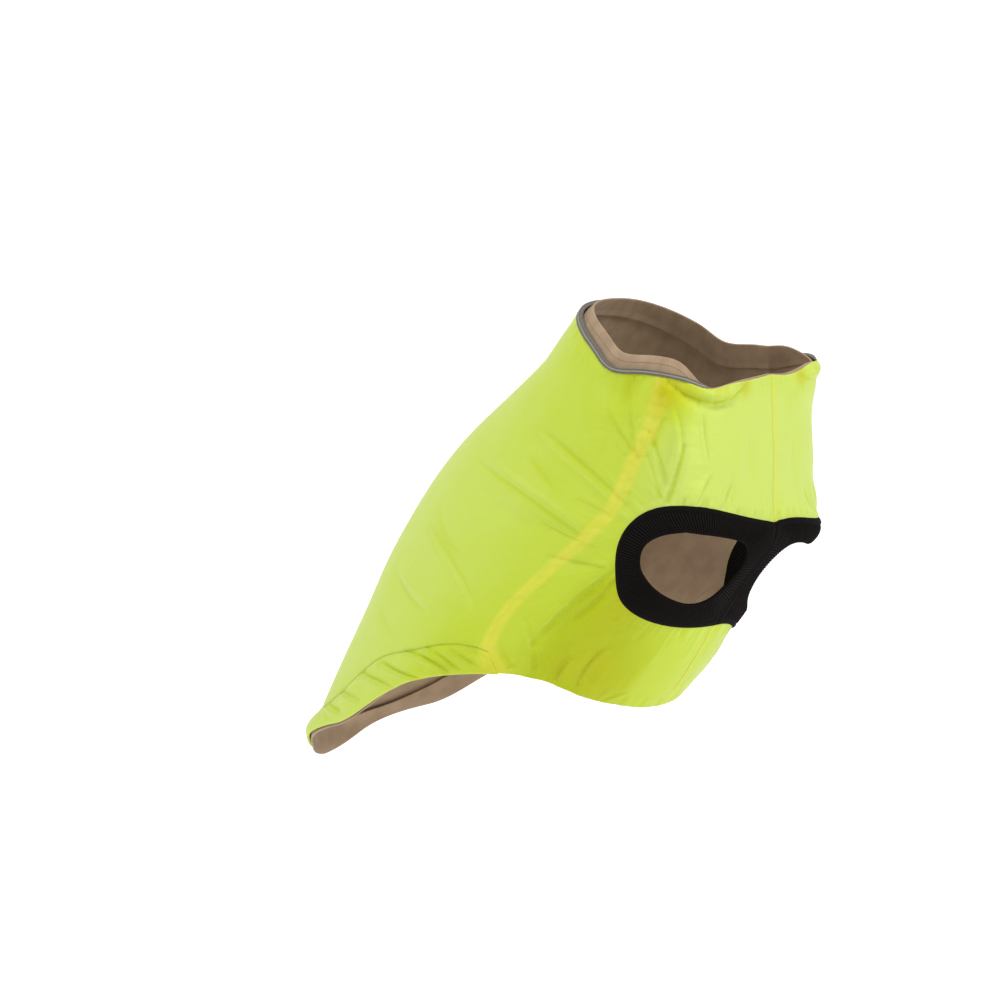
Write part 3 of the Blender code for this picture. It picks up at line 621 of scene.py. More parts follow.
def sorted_pair(keys, values):
    order = np.argsort(keys)
    return keys[order], values[order]


def rib_grid(rows, columns):
    """Levels and turns of a rib band: rows from the cloth's edge to the mouth, columns round it."""
    edge = edge_line(ARMHOLE_EDGE, np.linspace(0, 1, 600))
    middle = np.column_stack([np.linspace(edge[-1, 0], edge[0, 0], 200)[1:], np.ones(199)])
    loop = np.concatenate([edge, middle])
    length = run_length(loop * CLOTH_SCALE)
    even = np.arange(columns) / columns * length[-1]
    mouth = edge_line(ARMHOLE_MOUTH + ARMHOLE_MOUTH[:1], np.linspace(0, 1, 601))
    mouth = (mouth - ARMHOLE_CENTRE) * CLOTH_SCALE
    spokes = (read_at(even, length, loop) - ARMHOLE_CENTRE) * CLOTH_SCALE
    mouth_angle, mouth_radius = np.arctan2(mouth[:, 1], mouth[:, 0]), np.hypot(*mouth.T)
    spoke_angle, spoke_radius = np.arctan2(spokes[:, 1], spokes[:, 0]), np.hypot(*spokes.T)
    inner_radius = np.interp(spoke_angle, *sorted_pair(mouth_angle, mouth_radius), period=2 * np.pi)
    across = np.linspace(0, 1, rows + 1)[:, None]
    radius = (1 - across) * spoke_radius + across * inner_radius
    grid = ARMHOLE_CENTRE + (spokes / spoke_radius[:, None] * radius[..., None]) / CLOTH_SCALE
    return grid[..., 0], grid[..., 1], even


# ---------------------------------------------------------------- meshes


def vectors(x, y=0.0, z=0.0):
    """Grid of vectors from its three coordinates, for the materials."""
    return np.stack(np.broadcast_arrays(x, y, z), -1)


def place(level, turn):
    """Where a point lies on the cut cloth: along the ring and down, in millimetres."""
    return vectors(turn * TURN_LENGTH, level * LEVEL_LENGTH)


def seam_distances(level, turn):
    """Millimetres of cloth from the side seam, negative above it, and from the chest's middle line."""
    half_girth = np.interp(level, LATTICE_LEVELS, HALF_GIRTHS)
    slope = (SEAM(level + 0.01) - SEAM(level - 0.01)) / 0.02 * half_girth / LEVEL_LENGTH
    side = (np.abs(turn) - SEAM(level)) * half_girth / np.hypot(1, slope)
    middle = (1 - np.abs(turn)) * half_girth * np.where(turn < 0, -1.0, 1.0)
    return side, middle


ALLOWANCE_RISE, ALLOWANCE_WIDTH, ALLOWANCE_EDGE = 0.22, 6.5, 1.2
MIDDLE_SINK, MIDDLE_WIDTH = 0.45, 0.9


def seam_relief(level, turn):
    """The side seams' allowances lift the cloth a little, and the centre-front seam sinks."""
    side, middle = seam_distances(level, turn)
    allowance = ALLOWANCE_RISE / (1 + np.exp((np.abs(side) - ALLOWANCE_WIDTH) / ALLOWANCE_EDGE))
    return allowance - MIDDLE_SINK * np.exp(-(middle / MIDDLE_WIDTH) ** 2)


CUT_ANGLE = np.radians(75)    # a cut edge at a seam is sharper than this, and a fold is softer


def add_mesh(name, points, faces, kinds, materials, facts):
    """Object from points in millimetres on the form; kinds give each face's material, facts are
    vectors kept on the points for the materials."""
    mesh = bpy.data.meshes.new(name)
    mesh.from_pydata(((points - HOLD_POINT) * MM).tolist(), [], faces)
    for material in materials:
        mesh.materials.append(material)
    mesh.polygons.foreach_set("material_index", kinds)
    for key, values in facts.items():
        layer = mesh.attributes.new(key, "FLOAT_VECTOR", "POINT")
        layer.data.foreach_set("vector", np.asarray(values, np.float32).ravel())
    shaped = bmesh.new()
    shaped.from_mesh(mesh)
    bmesh.ops.recalc_face_normals(shaped, faces=shaped.faces)
    shaped.to_mesh(mesh)
    shaped.free()
    mesh.shade_smooth()
    mesh.set_sharp_from_angle(angle=CUT_ANGLE)
    obj = bpy.data.objects.new(name, mesh)
    bpy.context.scene.collection.objects.link(obj)
    return obj


ROUND_STEPS = 4        # steps round a free edge of the cloth


def quads_of(grid):
    """Faces between the neighbours of a grid of point numbers."""
    return np.stack([grid[:-1, :-1], grid[:-1, 1:], grid[1:, 1:], grid[1:, :-1]], -1).reshape(-1, 4)


def cloth_piece(name, outer, inner, facts, materials, closed=False, free=(1, 1, 1, 1)):
    """Closed wall between two grids of points, with its free edges rounded; free gives how far the
    first row, last row, first column and last column bulge, in millimetres."""
    rows, columns = outer.shape[:2]
    count = rows * columns
    grid = np.arange(count).reshape(rows, columns)
    quads = quads_of(np.hstack([grid, grid[:, :1]]) if closed else grid)
    faces = [quads, quads[:, ::-1] + count]
    kinds = [np.zeros(len(quads)), np.ones(len(quads))]
    points = [outer.reshape(-1, 3), inner.reshape(-1, 3)]
    sources = [np.arange(count), np.arange(count)]
    top, bottom, left, right = free
    if closed:
        loops = [(grid[0], grid[1], np.full(columns, top)), (grid[-1], grid[-2], np.full(columns, bottom))]
    else:
        ring = np.concatenate([grid[0, :-1], grid[:-1, -1], grid[-1, :0:-1], grid[:0:-1, 0]])
        inward = np.concatenate([grid[1, :-1], grid[:-1, -2], grid[-2, :0:-1], grid[:0:-1, 1]])
        bulge = np.concatenate([np.full(columns - 1, top), np.full(rows - 1, right),
                                np.full(columns - 1, bottom), np.full(rows - 1, left)])
        loops = [(ring, inward, bulge)]
    used = 2 * count
    flat_outer, flat_inner = points[0], points[1]
    for ring, inward, bulge in loops:
        through = flat_outer[ring] - flat_inner[ring]
        away = flat_outer[ring] - flat_outer[inward]
        away -= through * (np.sum(away * through, -1) / np.sum(through * through, -1))[:, None]
        away /= np.linalg.norm(away, axis=-1, keepdims=True) + 1e-9
        middle = (flat_outer[ring] + flat_inner[ring]) / 2
        strip = [ring]
        for step in range(1, ROUND_STEPS):
            angle = np.pi * step / ROUND_STEPS
            turned = middle + through / 2 * np.cos(angle) + away * (bulge * np.sin(angle))[:, None]
            points.append(turned)
            sources.append(ring)
            strip.append(used + np.arange(len(ring)))
            used += len(ring)
        strip.append(ring + count)
        for a, b in zip(strip[:-1], strip[1:]):
            quads = np.column_stack([a, b, np.roll(b, -1), np.roll(a, -1)])
            faces.append(quads)
            kinds.append(np.zeros(len(quads)))
    source = np.concatenate(sources)
    kept = {key: values.reshape(-1, 3)[source] for key, values in facts.items()}
    return add_mesh(name, np.concatenate(points), np.concatenate(faces).tolist(),
                    np.concatenate(kinds).astype(np.int32), materials, kept)


def tube(name, profile, materials, facts):
    """Closed tube from a grid of points, a row for each place round it and a column along it."""
    sides, columns = profile.shape[:2]
    index = np.arange(sides * columns).reshape(sides, columns)
    quads = quads_of(np.vstack([index, index[:1]]))[:, [0, 3, 2, 1]].tolist()
    ends = [index[:, 0].tolist(), index[::-1, -1].tolist()]
    kinds = np.zeros(len(quads) + 2, np.int32)
    kept = {key: values.reshape(-1, 3) for key, values in facts.items()}
    return add_mesh(name, profile.reshape(-1, 3), quads + ends, kinds, materials, kept)


STITCH_RINGS, STITCH_SIDES = 5, 6
STITCH_THICKNESS = np.array([0.45, 0.9, 1.0, 0.9, 0.45])    # from end to end, of the thread's radius
STITCH_START, STITCH_LENGTH = 0.12, 0.78                    # as shares of the pitch
STITCH_RISE, STITCH_SINK = 0.30, 0.12


def stitch_row(name, level, turn, lift, pitch, thread, material):
    """A row of sewing stitches along a line of places on the cloth, as one mesh."""
    line = laid(level, turn, lift)
    length = run_length(line)
    count = int(length[-1] / pitch)
    pitch = length[-1] / count
    share = np.linspace(0, 1, STITCH_RINGS)
    at = ((np.arange(count) + STITCH_START)[:, None] + share * STITCH_LENGTH) * pitch
    where = [np.interp(at, length, values) for values in (level, turn)]
    normal = outward(settled(*where), where[1])
    rise = STITCH_RISE * np.sin(np.pi * share) - STITCH_SINK
    centre = read_at(at, length, line) + normal * rise[:, None]
    ahead = np.gradient(centre, axis=1)
    ahead /= np.linalg.norm(ahead, axis=-1, keepdims=True)
    across = np.cross(ahead, normal)[:, :, None]
    angle = np.linspace(0, 2 * np.pi, STITCH_SIDES + 1)[:-1, None]
    around = across * np.cos(angle) + normal[:, :, None] * np.sin(angle)
    points = centre[:, :, None] + thread / 2 * STITCH_THICKNESS[:, None, None] * around
    index = np.arange(count * STITCH_RINGS * STITCH_SIDES).reshape(count, STITCH_RINGS, STITCH_SIDES)
    beside = np.roll(index, -1, axis=2)
    quads = np.stack([index[:, :-1], beside[:, :-1], beside[:, 1:], index[:, 1:]], -1)
    faces = [*quads.reshape(-1, 4).tolist(), *index[:, 0].tolist(), *index[:, -1, ::-1].tolist()]
    facts = {"cloth": vectors(np.repeat(at.ravel(), STITCH_SIDES))}
    stitches = add_mesh(name, points.reshape(-1, 3), faces, np.zeros(len(faces), np.int32), [material], facts)
    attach(stitches, "root")


# ---------------------------------------------------------------- materials


class Finish:
    """A new material's nodes."""

    def __init__(self, name, colour, roughness, specular):
        self.material = bpy.data.materials.new(name)
        self.material.use_nodes = True
        self.tree = self.material.node_tree
        self.shader = self.tree.nodes["Principled BSDF"]
        self.set(self.shader, "Base Color", (*colour, 1))
        self.set(self.shader, "Roughness", roughness)
        self.set(self.shader, "Specular IOR Level", specular)

    def set(self, node, socket, value):
        """Link a socket, or give it a plain value."""
        socket = node.inputs[socket]
        if isinstance(value, bpy.types.NodeSocket):
            self.tree.links.new(value, socket)
        else:
            socket.default_value = value

    def node(self, kind, sockets=(), **settings):
        node = self.tree.nodes.new(kind)
        for key, value in settings.items():
            setattr(node, key, value)
        for key, value in dict(sockets).items():
            self.set(node, key, value)
        return node

    def fact(self, key):
        """A vector kept on the mesh's points."""
        return self.node("ShaderNodeAttribute", attribute_name=key).outputs["Vector"]

    def part(self, vector, axis):
        return self.node("ShaderNodeSeparateXYZ", {"Vector": vector}).outputs[axis]

    def math(self, operation, a, b=0.0):
        return self.node("ShaderNodeMath", {0: a, 1: b}, operation=operation).outputs[0]

    def wave(self, vector, axis, pitch):
        """Sine of a coordinate, with a wave for each pitch in millimetres."""
        return self.math("SINE", self.math("MULTIPLY", self.part(vector, axis), 2 * np.pi / pitch))

    def noise(self, vector, scale, detail, rough=0.5, distortion=0.0):
        """Noise from 0 to 1; the scale gives its waves a millimetre across and down."""
        scaled = self.node("ShaderNodeVectorMath", {0: vector, 1: (*scale, 0)}, operation="MULTIPLY")
        sockets = {"Vector": scaled.outputs["Vector"], "Scale": 1.0, "Detail": detail,
                   "Roughness": rough, "Distortion": distortion}
        return self.node("ShaderNodeTexNoise", sockets).outputs["Fac"]

    def ramp(self, value, low, high, start=0.0, end=1.0):
        """Smooth step of a value from low to high."""
        sockets = {"Value": value, "From Min": low, "From Max": high, "To Min": start, "To Max": end}
        node = self.node("ShaderNodeMapRange", sockets, interpolation_type="SMOOTHSTEP")
        return node.outputs["Result"]

    def mix(self, factor, a, b):
        node = self.node("ShaderNodeMix", data_type="RGBA")
        self.set(node, 0, factor)
        for socket, value in ((6, a), (7, b)):
            self.set(node, socket, value if isinstance(value, bpy.types.NodeSocket) else (*value, 1))
        return node.outputs[2]

    def bump(self, height, distance, under=None):
        """Bump of a height from 0 to 1 over a distance in millimetres."""
        node = self.node("ShaderNodeBump", {"Height": height, "Distance": distance * MM, "Strength": 1.0})
        if under is not None:
            self.set(node, "Normal", under)
        return node.outputs["Normal"]

    def use(self, colour=None, normal=None):
        if colour is not None:
            self.set(self.shader, "Base Color", colour)
        if normal is not None:
            self.set(self.shader, "Normal", normal)
        return self.material

    def sheen(self, weight, roughness):
        self.set(self.shader, "Sheen Weight", weight)
        self.set(self.shader, "Sheen Roughness", roughness)


def plain_weave(finish, cloth, pitch):
    """Height of a plain weave with a thread every pitch millimetres."""
    across, down = finish.wave(cloth, "X", 2 * pitch), finish.wave(cloth, "Y", 2 * pitch)
    return finish.ramp(finish.math("MULTIPLY", across, down), -1, 1)


NEON_PAINTED_SHADE = (0.375, 0.445, 0.003)    # painted shade: under the arm and on the belly
NEON_DEEP = (0.445, 0.555, 0.030)   # on the side
NEON_PAINTED_SHEEN = (0.495, 0.610, 0.110)   # painted sheen: on the back and most on the chest
NEON_SEAM = (0.640, 0.592, 0.055)   # an allowance shows through the thin nylon
NEON_PAINTED_GOLDEN_SHADE = (0.450, 0.440, 0.001)   # painted golden shade: under the roll of the collar and in deep folds on the belly
NEON_PAINTED_FOLD_SHADE = (0.425, 0.520, 0.003)   # painted shade in a fold
NEON_PAINTED_DEEP_SHADE = (0.410, 0.410, 0.001)   # painted golden shade deep in one
NEON_PAINTED_RIDGE_HIGHLIGHT = (0.560, 0.680, 0.160)  # painted highlight on a sharp ridge
# Painted shade in a crease's trough and painted highlight on its ridge, by its height: height where the tint
# begins, and where it is full, its share, colour
CREASE_PAINTED_SHADE_AND_HIGHLIGHT = (
    (-0.2, -1.5, 0.60, NEON_PAINTED_FOLD_SHADE),
    (-1.4, -2.4, 0.80, NEON_PAINTED_DEEP_SHADE),
    (0.4, 1.6, 0.40, NEON_PAINTED_RIDGE_HIGHLIGHT),
)
# painted sheen where the amount is positive and painted shade where it is negative: level and turn of a
# place, how far it reaches in millimetres, and how much
PAINTED_SHEEN_AND_SHADE_PLACES = (
    (0.22, 0.92, 75, 1.7), (0.28, 0.78, 38, 0.9), (0.30, 0.20, 110, 0.70), (0.75, 0.10, 120, 0.80),
    (0.90, 0.22, 60, 0.3), (0.06, 0.54, 15, -1.0), (0.08, 0.66, 12, -0.9), (0.62, 0.71, 26, -0.9),
    (0.82, 0.74, 48, -1.3), (0.835, 0.46, 26, -0.8),
)
# and how much painted golden shade there is, under the roll of the collar and over deep folds
PAINTED_GOLDEN_SHADE_PLACES = (
    (0.045, 0.70, 13, 0.45), (0.04, 0.79, 11, 0.30), (0.025, 0.875, 8, 0.70), (0.065, 0.640, 13, 0.95),
    (0.82, 0.77, 13, 0.45), (0.82, 0.715, 10, 0.45), (0.85, 0.56, 14, 0.45), (0.68, 0.75, 17, 0.35),
    (0.90, 0.82, 24, 0.30),
)


def spread(places, level, turn):
    """Sum of soft spots round the places of a table."""
    total = np.zeros(np.shape(level))
    for at_level, at_turn, reach, amount in places:
        down, across = cloth_run(at_level, at_turn, level, np.abs(turn))
        total += amount * np.exp(-(across ** 2 + down ** 2) / reach ** 2)
    return total


def neon_nylon():
    finish = Finish("neon nylon", NEON_PAINTED_SHEEN, 0.42, 0.18)
    cloth, seam, painted_light = (finish.fact(key) for key in ("cloth", "seam", "painted_light"))
    from_side, from_middle, crease = (finish.part(seam, axis) for axis in "XYZ")
    cloudy = finish.math("SUBTRACT", finish.noise(cloth, (0.03, 0.03), 2.0), 0.5)
    patchy = finish.noise(cloth, (0.16, 0.10), 3.0, 0.6)
    # painted sheen and painted shade by place, with a random cloudy tone added
    pale = finish.math("ADD", finish.part(painted_light, "X"), finish.math("MULTIPLY", cloudy, 0.5))
    colour = finish.mix(finish.ramp(pale, 0.0, 1.3), NEON_DEEP, NEON_PAINTED_SHEEN)
    colour = finish.mix(finish.ramp(pale, 0.0, -1.0), colour, NEON_PAINTED_SHADE)
    # painted shade in the creases and painted highlight on their ridges
    for first, full, share, tint in CREASE_PAINTED_SHADE_AND_HIGHLIGHT:
        colour = finish.mix(finish.ramp(crease, first, full, 0.0, share), colour, tint)
    # the allowances of the side seams and of the centre-front seam
    reach = finish.math("ADD", finish.math("ABSOLUTE", from_side), finish.math("MULTIPLY", patchy, 2.0))
    side_band = finish.math("MULTIPLY", finish.ramp(reach, 4.5, 9.5, 0.85, 0.0),
                            finish.ramp(patchy, 0.2, 0.7, 0.35, 0.85))
    middle_band = finish.math("MULTIPLY", finish.ramp(from_middle, 3.0, 4.0, 1.0, 0.0),
                              finish.ramp(from_middle, -0.6, 0.0))
    band = finish.math("MAXIMUM", side_band, finish.math("MULTIPLY", middle_band, 0.32))
    colour = finish.mix(band, colour, NEON_SEAM)
    # painted golden shade under the collar and over deep folds
    colour = finish.mix(finish.part(painted_light, "Y"), colour, NEON_PAINTED_GOLDEN_SHADE)
    normal = finish.bump(finish.noise(cloth, (0.11, 0.16), 4.0, 0.55, 0.6), 0.45)
    normal = finish.bump(plain_weave(finish, cloth, 0.32), 0.02, normal)
    finish.sheen(0.02, 0.4)
    return finish.use(colour, normal)


def beige_lining():
    finish = Finish("beige lining", (0.36, 0.26, 0.165), 0.85, 0.2)
    cloth = finish.fact("cloth")
    cloudy = finish.ramp(finish.noise(cloth, (0.08, 0.08), 3.0), 0.3, 0.7)
    colour = finish.mix(cloudy, (0.38, 0.275, 0.175), (0.32, 0.225, 0.14))
    normal = finish.bump(finish.noise(cloth, (1.6, 1.6), 3.0, 0.65), 0.18)
    normal = finish.bump(plain_weave(finish, cloth, 0.6), 0.05, normal)
    finish.sheen(0.06, 0.6)
    return finish.use(colour, normal)


def black_rib():
    finish = Finish("black rib knit", (0.006, 0.005, 0.005), 0.95, 0.06)
    cloth = finish.fact("cloth")
    lint = finish.noise(cloth, (2.2, 2.2), 2.0, 0.7)
    wale = finish.part(finish.fact("wale"), "X")
    # darker between the ribs than on their crests: painted shade in the grooves
    colour = finish.mix(finish.ramp(wale, -0.6, 0.9), (0.002, 0.0016, 0.0016), (0.012, 0.009, 0.009))
    colour = finish.mix(finish.ramp(lint, 0.55, 0.8, 0.0, 0.7), colour, (0.016, 0.012, 0.012))
    normal = finish.bump(finish.ramp(finish.wave(cloth, "Y", 0.9), -1, 1), 0.10)
    return finish.use(colour, finish.bump(lint, 0.10, normal))


def grey_piping():
    finish = Finish("grey piping", (0.10, 0.095, 0.08), 0.7, 0.3)
    along_x, height = (finish.part(finish.fact("cloth"), axis) for axis in "XY")
    outer_cord = finish.ramp(finish.math("ABSOLUTE", height), 0.45, 0.65)
    colour = finish.mix(outer_cord, (0.30, 0.275, 0.22), (0.14, 0.13, 0.11))
    turns = finish.math("ADD", finish.math("MULTIPLY", along_x, 2 * np.pi / 0.8),
                        finish.math("MULTIPLY", height, 4.0))
    return finish.use(colour, finish.bump(finish.ramp(finish.math("SINE", turns), -1, 1), 0.12))


def sewing_thread(name, colour, roughness, specular):
    finish = Finish(name, colour, roughness, specular)
    twist = finish.ramp(finish.wave(finish.fact("cloth"), "X", 0.5), -1, 1)
    return finish.use(normal=finish.bump(twist, 0.05))


# ---------------------------------------------------------------- pieces


# How many rows and columns the grids of the pieces have
BACK_GRID, CASING_GRID, RIB_GRID = (176, 134), (30, 150), (26, 840)
SIDE_STEPS = 100, 150, 84, 108       # along the neck, the side seam and the hem, and inwards
FACING_GRID, RUMP_GRID = (18, 560), (14, 240)
STITCH_LINE_POINTS = 900


def shell_facts(level, turn):
    """What the nylon's colours depend on, at each point."""
    return {"cloth": place(level, turn),
            "seam": vectors(*seam_distances(level, turn), small_creases(level, turn)),
            # painted sheen and shade by place, and painted golden shade
            "painted_light": vectors(spread(PAINTED_SHEEN_AND_SHADE_PLACES, level, turn), spread(PAINTED_GOLDEN_SHADE_PLACES, level, turn))}


def area_of(points):
    """Area of a grid of points, in square metres."""
    across, down = points[:-1, 1:] - points[:-1, :-1], points[1:, :-1] - points[:-1, :-1]
    return float(np.linalg.norm(np.cross(across, down), axis=-1).sum()) * MM * MM


def settle(piece, node, slot):
    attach(piece, "root")
    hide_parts(node)


def add_sheet(name, node, slot, outer, inner, facts, materials, flat, held, **shape):
    """A cloth piece that stands for a node."""
    piece = cloth_piece(name, outer, inner, facts, materials, **shape)
    area_of(outer)
    settle(piece, node, slot)


def sunk_at_stitches(to_stitches):
    return -0.5 * np.exp(-to_stitches ** 2)


def shell(name, node, level, turn, lift, materials, flat, free):
    """A panel of nylon over its lining."""
    outer = laid(level, turn, seam_relief(level, turn) + lift)
    inner = laid(level, turn, lining_lift(level, turn), fine=False)
    facts = shell_facts(level, turn)
    add_sheet(name, node, "nylon", outer, inner, facts, materials, flat, "draped", free=free)


def lining_strip(name, node, level, turn, face, lining, flat, held, **shape):
    """A facing of lining cloth, from the lift of its outer face."""
    outer, inner = (laid(level, turn, lift, fine=False) for lift in (face, face - FACING_WALL))
    facts = {"cloth": place(level, turn)}
    add_sheet(name, node, "lining", outer, inner, facts, (lining, lining), flat, held, **shape)


def back_panel(nylon, lining):
    level, turn = spine_grid(NECK, CASING, *BACK_GRID)
    lift = sunk_at_stitches((CASING(np.abs(turn)) - level) * LEVEL_LENGTH)
    shell("back_cloth", "back_panel", level, turn, lift, (nylon, lining), (0.47, 0.275), (0.5, 0, 0, 0))


def side_front(side, word, nylon, lining):
    level, turn = side_grid(*SIDE_STEPS)
    shell("side_cloth_" + word, "side_front_" + word, level, turn * side, 0.0, (nylon, lining),
          (0.19, 0.265), (0, 0, 0.9, 0))


def casing_lift(down, to_stitches):
    """Outer face of the hem casing: pressed down at its stitches, round towards the hem."""
    puff = CASING_OUT + CASING_PUFF * np.sin(np.pi * down) ** 0.7
    return puff * (1 - np.exp(-(to_stitches / 2.6) ** 2)) + sunk_at_stitches(to_stitches)


CASING_LEAST = 1.2           # the casing is at least this thick
CASING_HOLLOW = 1.2          # and its back follows the puff by this much in the middle
CASING_SEAM_REACH = 16.0     # it rises over this distance from the side seams
CASING_STITCH_SINK, CASING_STITCH_PITCH, CASING_THREAD = 0.35, 2.7, 0.45


def hem_casing(nylon, lining, thread):
    level, turn = spine_grid(CASING, HEM, *CASING_GRID)
    down = np.linspace(0, 1, len(level))[:, None] + 0 * turn
    to_stitches = (level - CASING(np.abs(turn))) * LEVEL_LENGTH
    to_seam = -seam_distances(level, turn)[0]
    lift = casing_lift(down, to_stitches) * (0.1 + 0.9 * smooth_step(to_seam, (0, CASING_SEAM_REACH)))
    outer = laid(level, turn, lift + seam_relief(level, turn))
    back = CASING_OUT - CASING_WALL + CASING_HOLLOW * np.sin(np.pi * down)
    back = np.minimum(back, lift + small_creases(level, turn) - CASING_LEAST)
    inner = laid(level, turn, back, fine=False)
    add_sheet("casing_cloth", "hem_casing", "nylon", outer, inner, shell_facts(level, turn),
              (nylon, lining), (0.47, 0.030), "folded", free=(0, 1.2, 0, 0))
    reach = np.linspace(-0.999, 0.999, STITCH_LINE_POINTS) * crossing(CASING)[1]
    stitch_row("casing_stitches", CASING(np.abs(reach)) + 0.0015, reach,
               -CASING_STITCH_SINK, CASING_STITCH_PITCH, CASING_THREAD, thread)


RIB_PITCH = 2.3              # one rib of the knit
RIB_RISE, RIB_RISE_INSIDE = 0.32, 0.12
BAND_WIDTH = 17.0
# Across the band, as shares of its width: where the ribs set in and end, and place, half width and
# height of the smooth rolled edge beside the cloth and of the groove behind it
RIBS_BEGIN, RIBS_END = (0.22, 0.30), (0.96, 1.02)
ROLLED_EDGE = ((0.12, 0.09, 0.5), (0.24, 0.035, -0.35))
CROWN, CROWN_SQUARE, CROWN_BASE = 0.7, 0.4, -0.4


def armhole_rib(side, word, knit):
    level, turn, even = rib_grid(*RIB_GRID)
    turn = turn * side
    across = np.linspace(0, 1, len(level))[:, None]
    whole = round(even[-1] / RIB_PITCH)
    wale = np.cos(2 * np.pi * whole * np.arange(len(even)) / len(even))[None, :]
    wale = wale * linear_step(across, RIBS_BEGIN) * (1 - linear_step(across, RIBS_END))
    roll = sum(height * np.exp(-((across - at) / width) ** 2) for at, width, height in ROLLED_EDGE)
    crown = CROWN * np.abs(np.sin(np.pi * across)) ** CROWN_SQUARE + CROWN_BASE
    outer = laid(level, turn, RIB_OUT + roll + crown + RIB_RISE * wale, fine=False)
    inner = laid(level, turn, RIB_OUT - RIB_WALL + RIB_RISE_INSIDE * wale, fine=False)
    for points in (outer, inner):
        points[..., 1] = side * np.maximum(side * points[..., 1], SEAM_GAP)
    facts = {"cloth": vectors(even + 0 * level, across * BAND_WIDTH), "wale": vectors(wale)}
    add_sheet("rib_band_" + word, "armhole_rib_" + word, "rib", outer, inner, facts, (knit, knit),
              (0.30, 0.030), "stretched", closed=True, free=(0.3, 0.9, 0, 0))


FACING_STITCH_DROP, FACING_STITCH_END = 4.5, 0.69    # millimetres below its top edge, and a turn
FACING_STITCH_PITCH, FACING_THREAD = 2.5, 0.4


def facing_lift(height):
    """Outer face of the neck facing, at a height above the neck edge."""
    return -SHELL_WALL - FACING_GAP - FACING_LEAN * np.maximum(height, 0)


def neck_facing(lining, thread):
    rows, columns = FACING_GRID
    rise = Curve(FACING_RISE)
    turn = np.linspace(-1, 1, columns + 1)[None, :-1]
    down = np.linspace(0, 1, rows + 1)[:, None]
    height = rise(np.abs(turn)) * (1 - down) - FACING_DEPTH * down
    level = NECK(np.abs(turn)) - height / LEVEL_LENGTH
    lining_strip("facing_cloth", "neck_facing", level, turn + 0 * level, facing_lift(height), lining,
                 (0.47, 0.018), "gathered", closed=True, free=(0.6, 0.3, 0, 0))
    reach = np.linspace(-FACING_STITCH_END, FACING_STITCH_END, STITCH_LINE_POINTS)
    height = rise(np.abs(reach)) - FACING_STITCH_DROP
    stitch_row("facing_stitches", NECK(np.abs(reach)) - height / LEVEL_LENGTH, reach,
               facing_lift(height), FACING_STITCH_PITCH, FACING_THREAD, thread)


CORD_RADIUS, CORD_HEIGHTS = 0.62, (-1.2, 0.0, 1.2)
CORD_SINK = 0.55             # the cords' middle lies this far behind the tape's face
PIPING_STEPS, PIPING_COLUMNS = 25, 620
PIPING_TAPER = 0.02          # turn over which its ends run out


def neck_piping(cord):
    """Three cords side by side in one tape, the middle one lighter."""
    half = PIPING_TALL / 2
    height = np.linspace(-half, half, PIPING_STEPS)
    lobes = [np.sqrt(np.maximum(CORD_RADIUS ** 2 - (height - middle) ** 2, 0.0)) for middle in CORD_HEIGHTS]
    front = PIPING_OUT - CORD_SINK + np.max(lobes, axis=0)
    back_height = height[::-4]
    back = np.full(len(back_height), PIPING_OUT - PIPING_THICK)
    heights = np.concatenate([height, back_height])[:, None]
    lifts = np.concatenate([front, back])[:, None]
    turn = np.linspace(-PIPING_END, PIPING_END, PIPING_COLUMNS)[None, :] + 0 * heights
    # it runs out to a point over the front end of the facing
    taper = np.clip((PIPING_END - np.abs(turn)) / PIPING_TAPER, 0, 1) ** 0.5
    level = NECK(np.abs(turn)) - (PIPING_LIFT + half + heights * taper) / LEVEL_LENGTH
    points = laid(level, turn, lifts * taper - 0.7 * (1 - taper), fine=False)
    facts = {"cloth": vectors(turn * TURN_LENGTH, heights)}
    settle(tube("piping_cords", points, (cord,), facts), "neck_piping", "piping")


def rump_facing(lining):
    rows, columns = RUMP_GRID
    across = np.linspace(-1, 1, columns + 1)[None, :]
    turn = RUMP_FACING_END * across
    down = np.linspace(0, 1, rows + 1)[:, None]
    drop = RUMP_FACING_DROP * (0.15 + 0.85 * np.cos(across * np.pi / 2) ** 0.5)
    top = (CASING(np.abs(turn)) + HEM(np.abs(turn))) / 2
    level = top * (1 - down) + (HEM(np.abs(turn)) + drop / LEVEL_LENGTH) * down
    face = CASING_OUT - CASING_WALL - FACING_GAP
    lining_strip("rump_facing_cloth", "rump_facing", level, turn + 0 * level, face, lining,
                 (0.235, 0.020), "draped", free=(0.4, 0.6, 0.4, 0.4))


# ---------------------------------------------------------------- camera, light and floor

CAMERA_AZIMUTH, CAMERA_HEIGHT_ANGLE = np.radians(35.0), np.radians(6.3)
CAMERA_DISTANCE = 2350.0
PIXELS_PER_MM = 1.5                      # at the jacket, in the photograph's 1000 x 1000 frame
FRAME_CENTRE = np.array([500.0, 500.0])
FORM_PIXEL = np.array([570.0, 357.0])    # where the photograph shows the form's own zero
SENSOR = 36.0
FLOOR_DROP = 375.0                       # the floor lies this far below the form's zero


def look_directions():
    a, e = CAMERA_AZIMUTH, CAMERA_HEIGHT_ANGLE
    right = np.array([np.cos(a), np.sin(a), 0])
    forward = np.array([-np.sin(a) * np.cos(e), np.cos(a) * np.cos(e), -np.sin(e)])
    return right, forward, np.cross(right, forward)


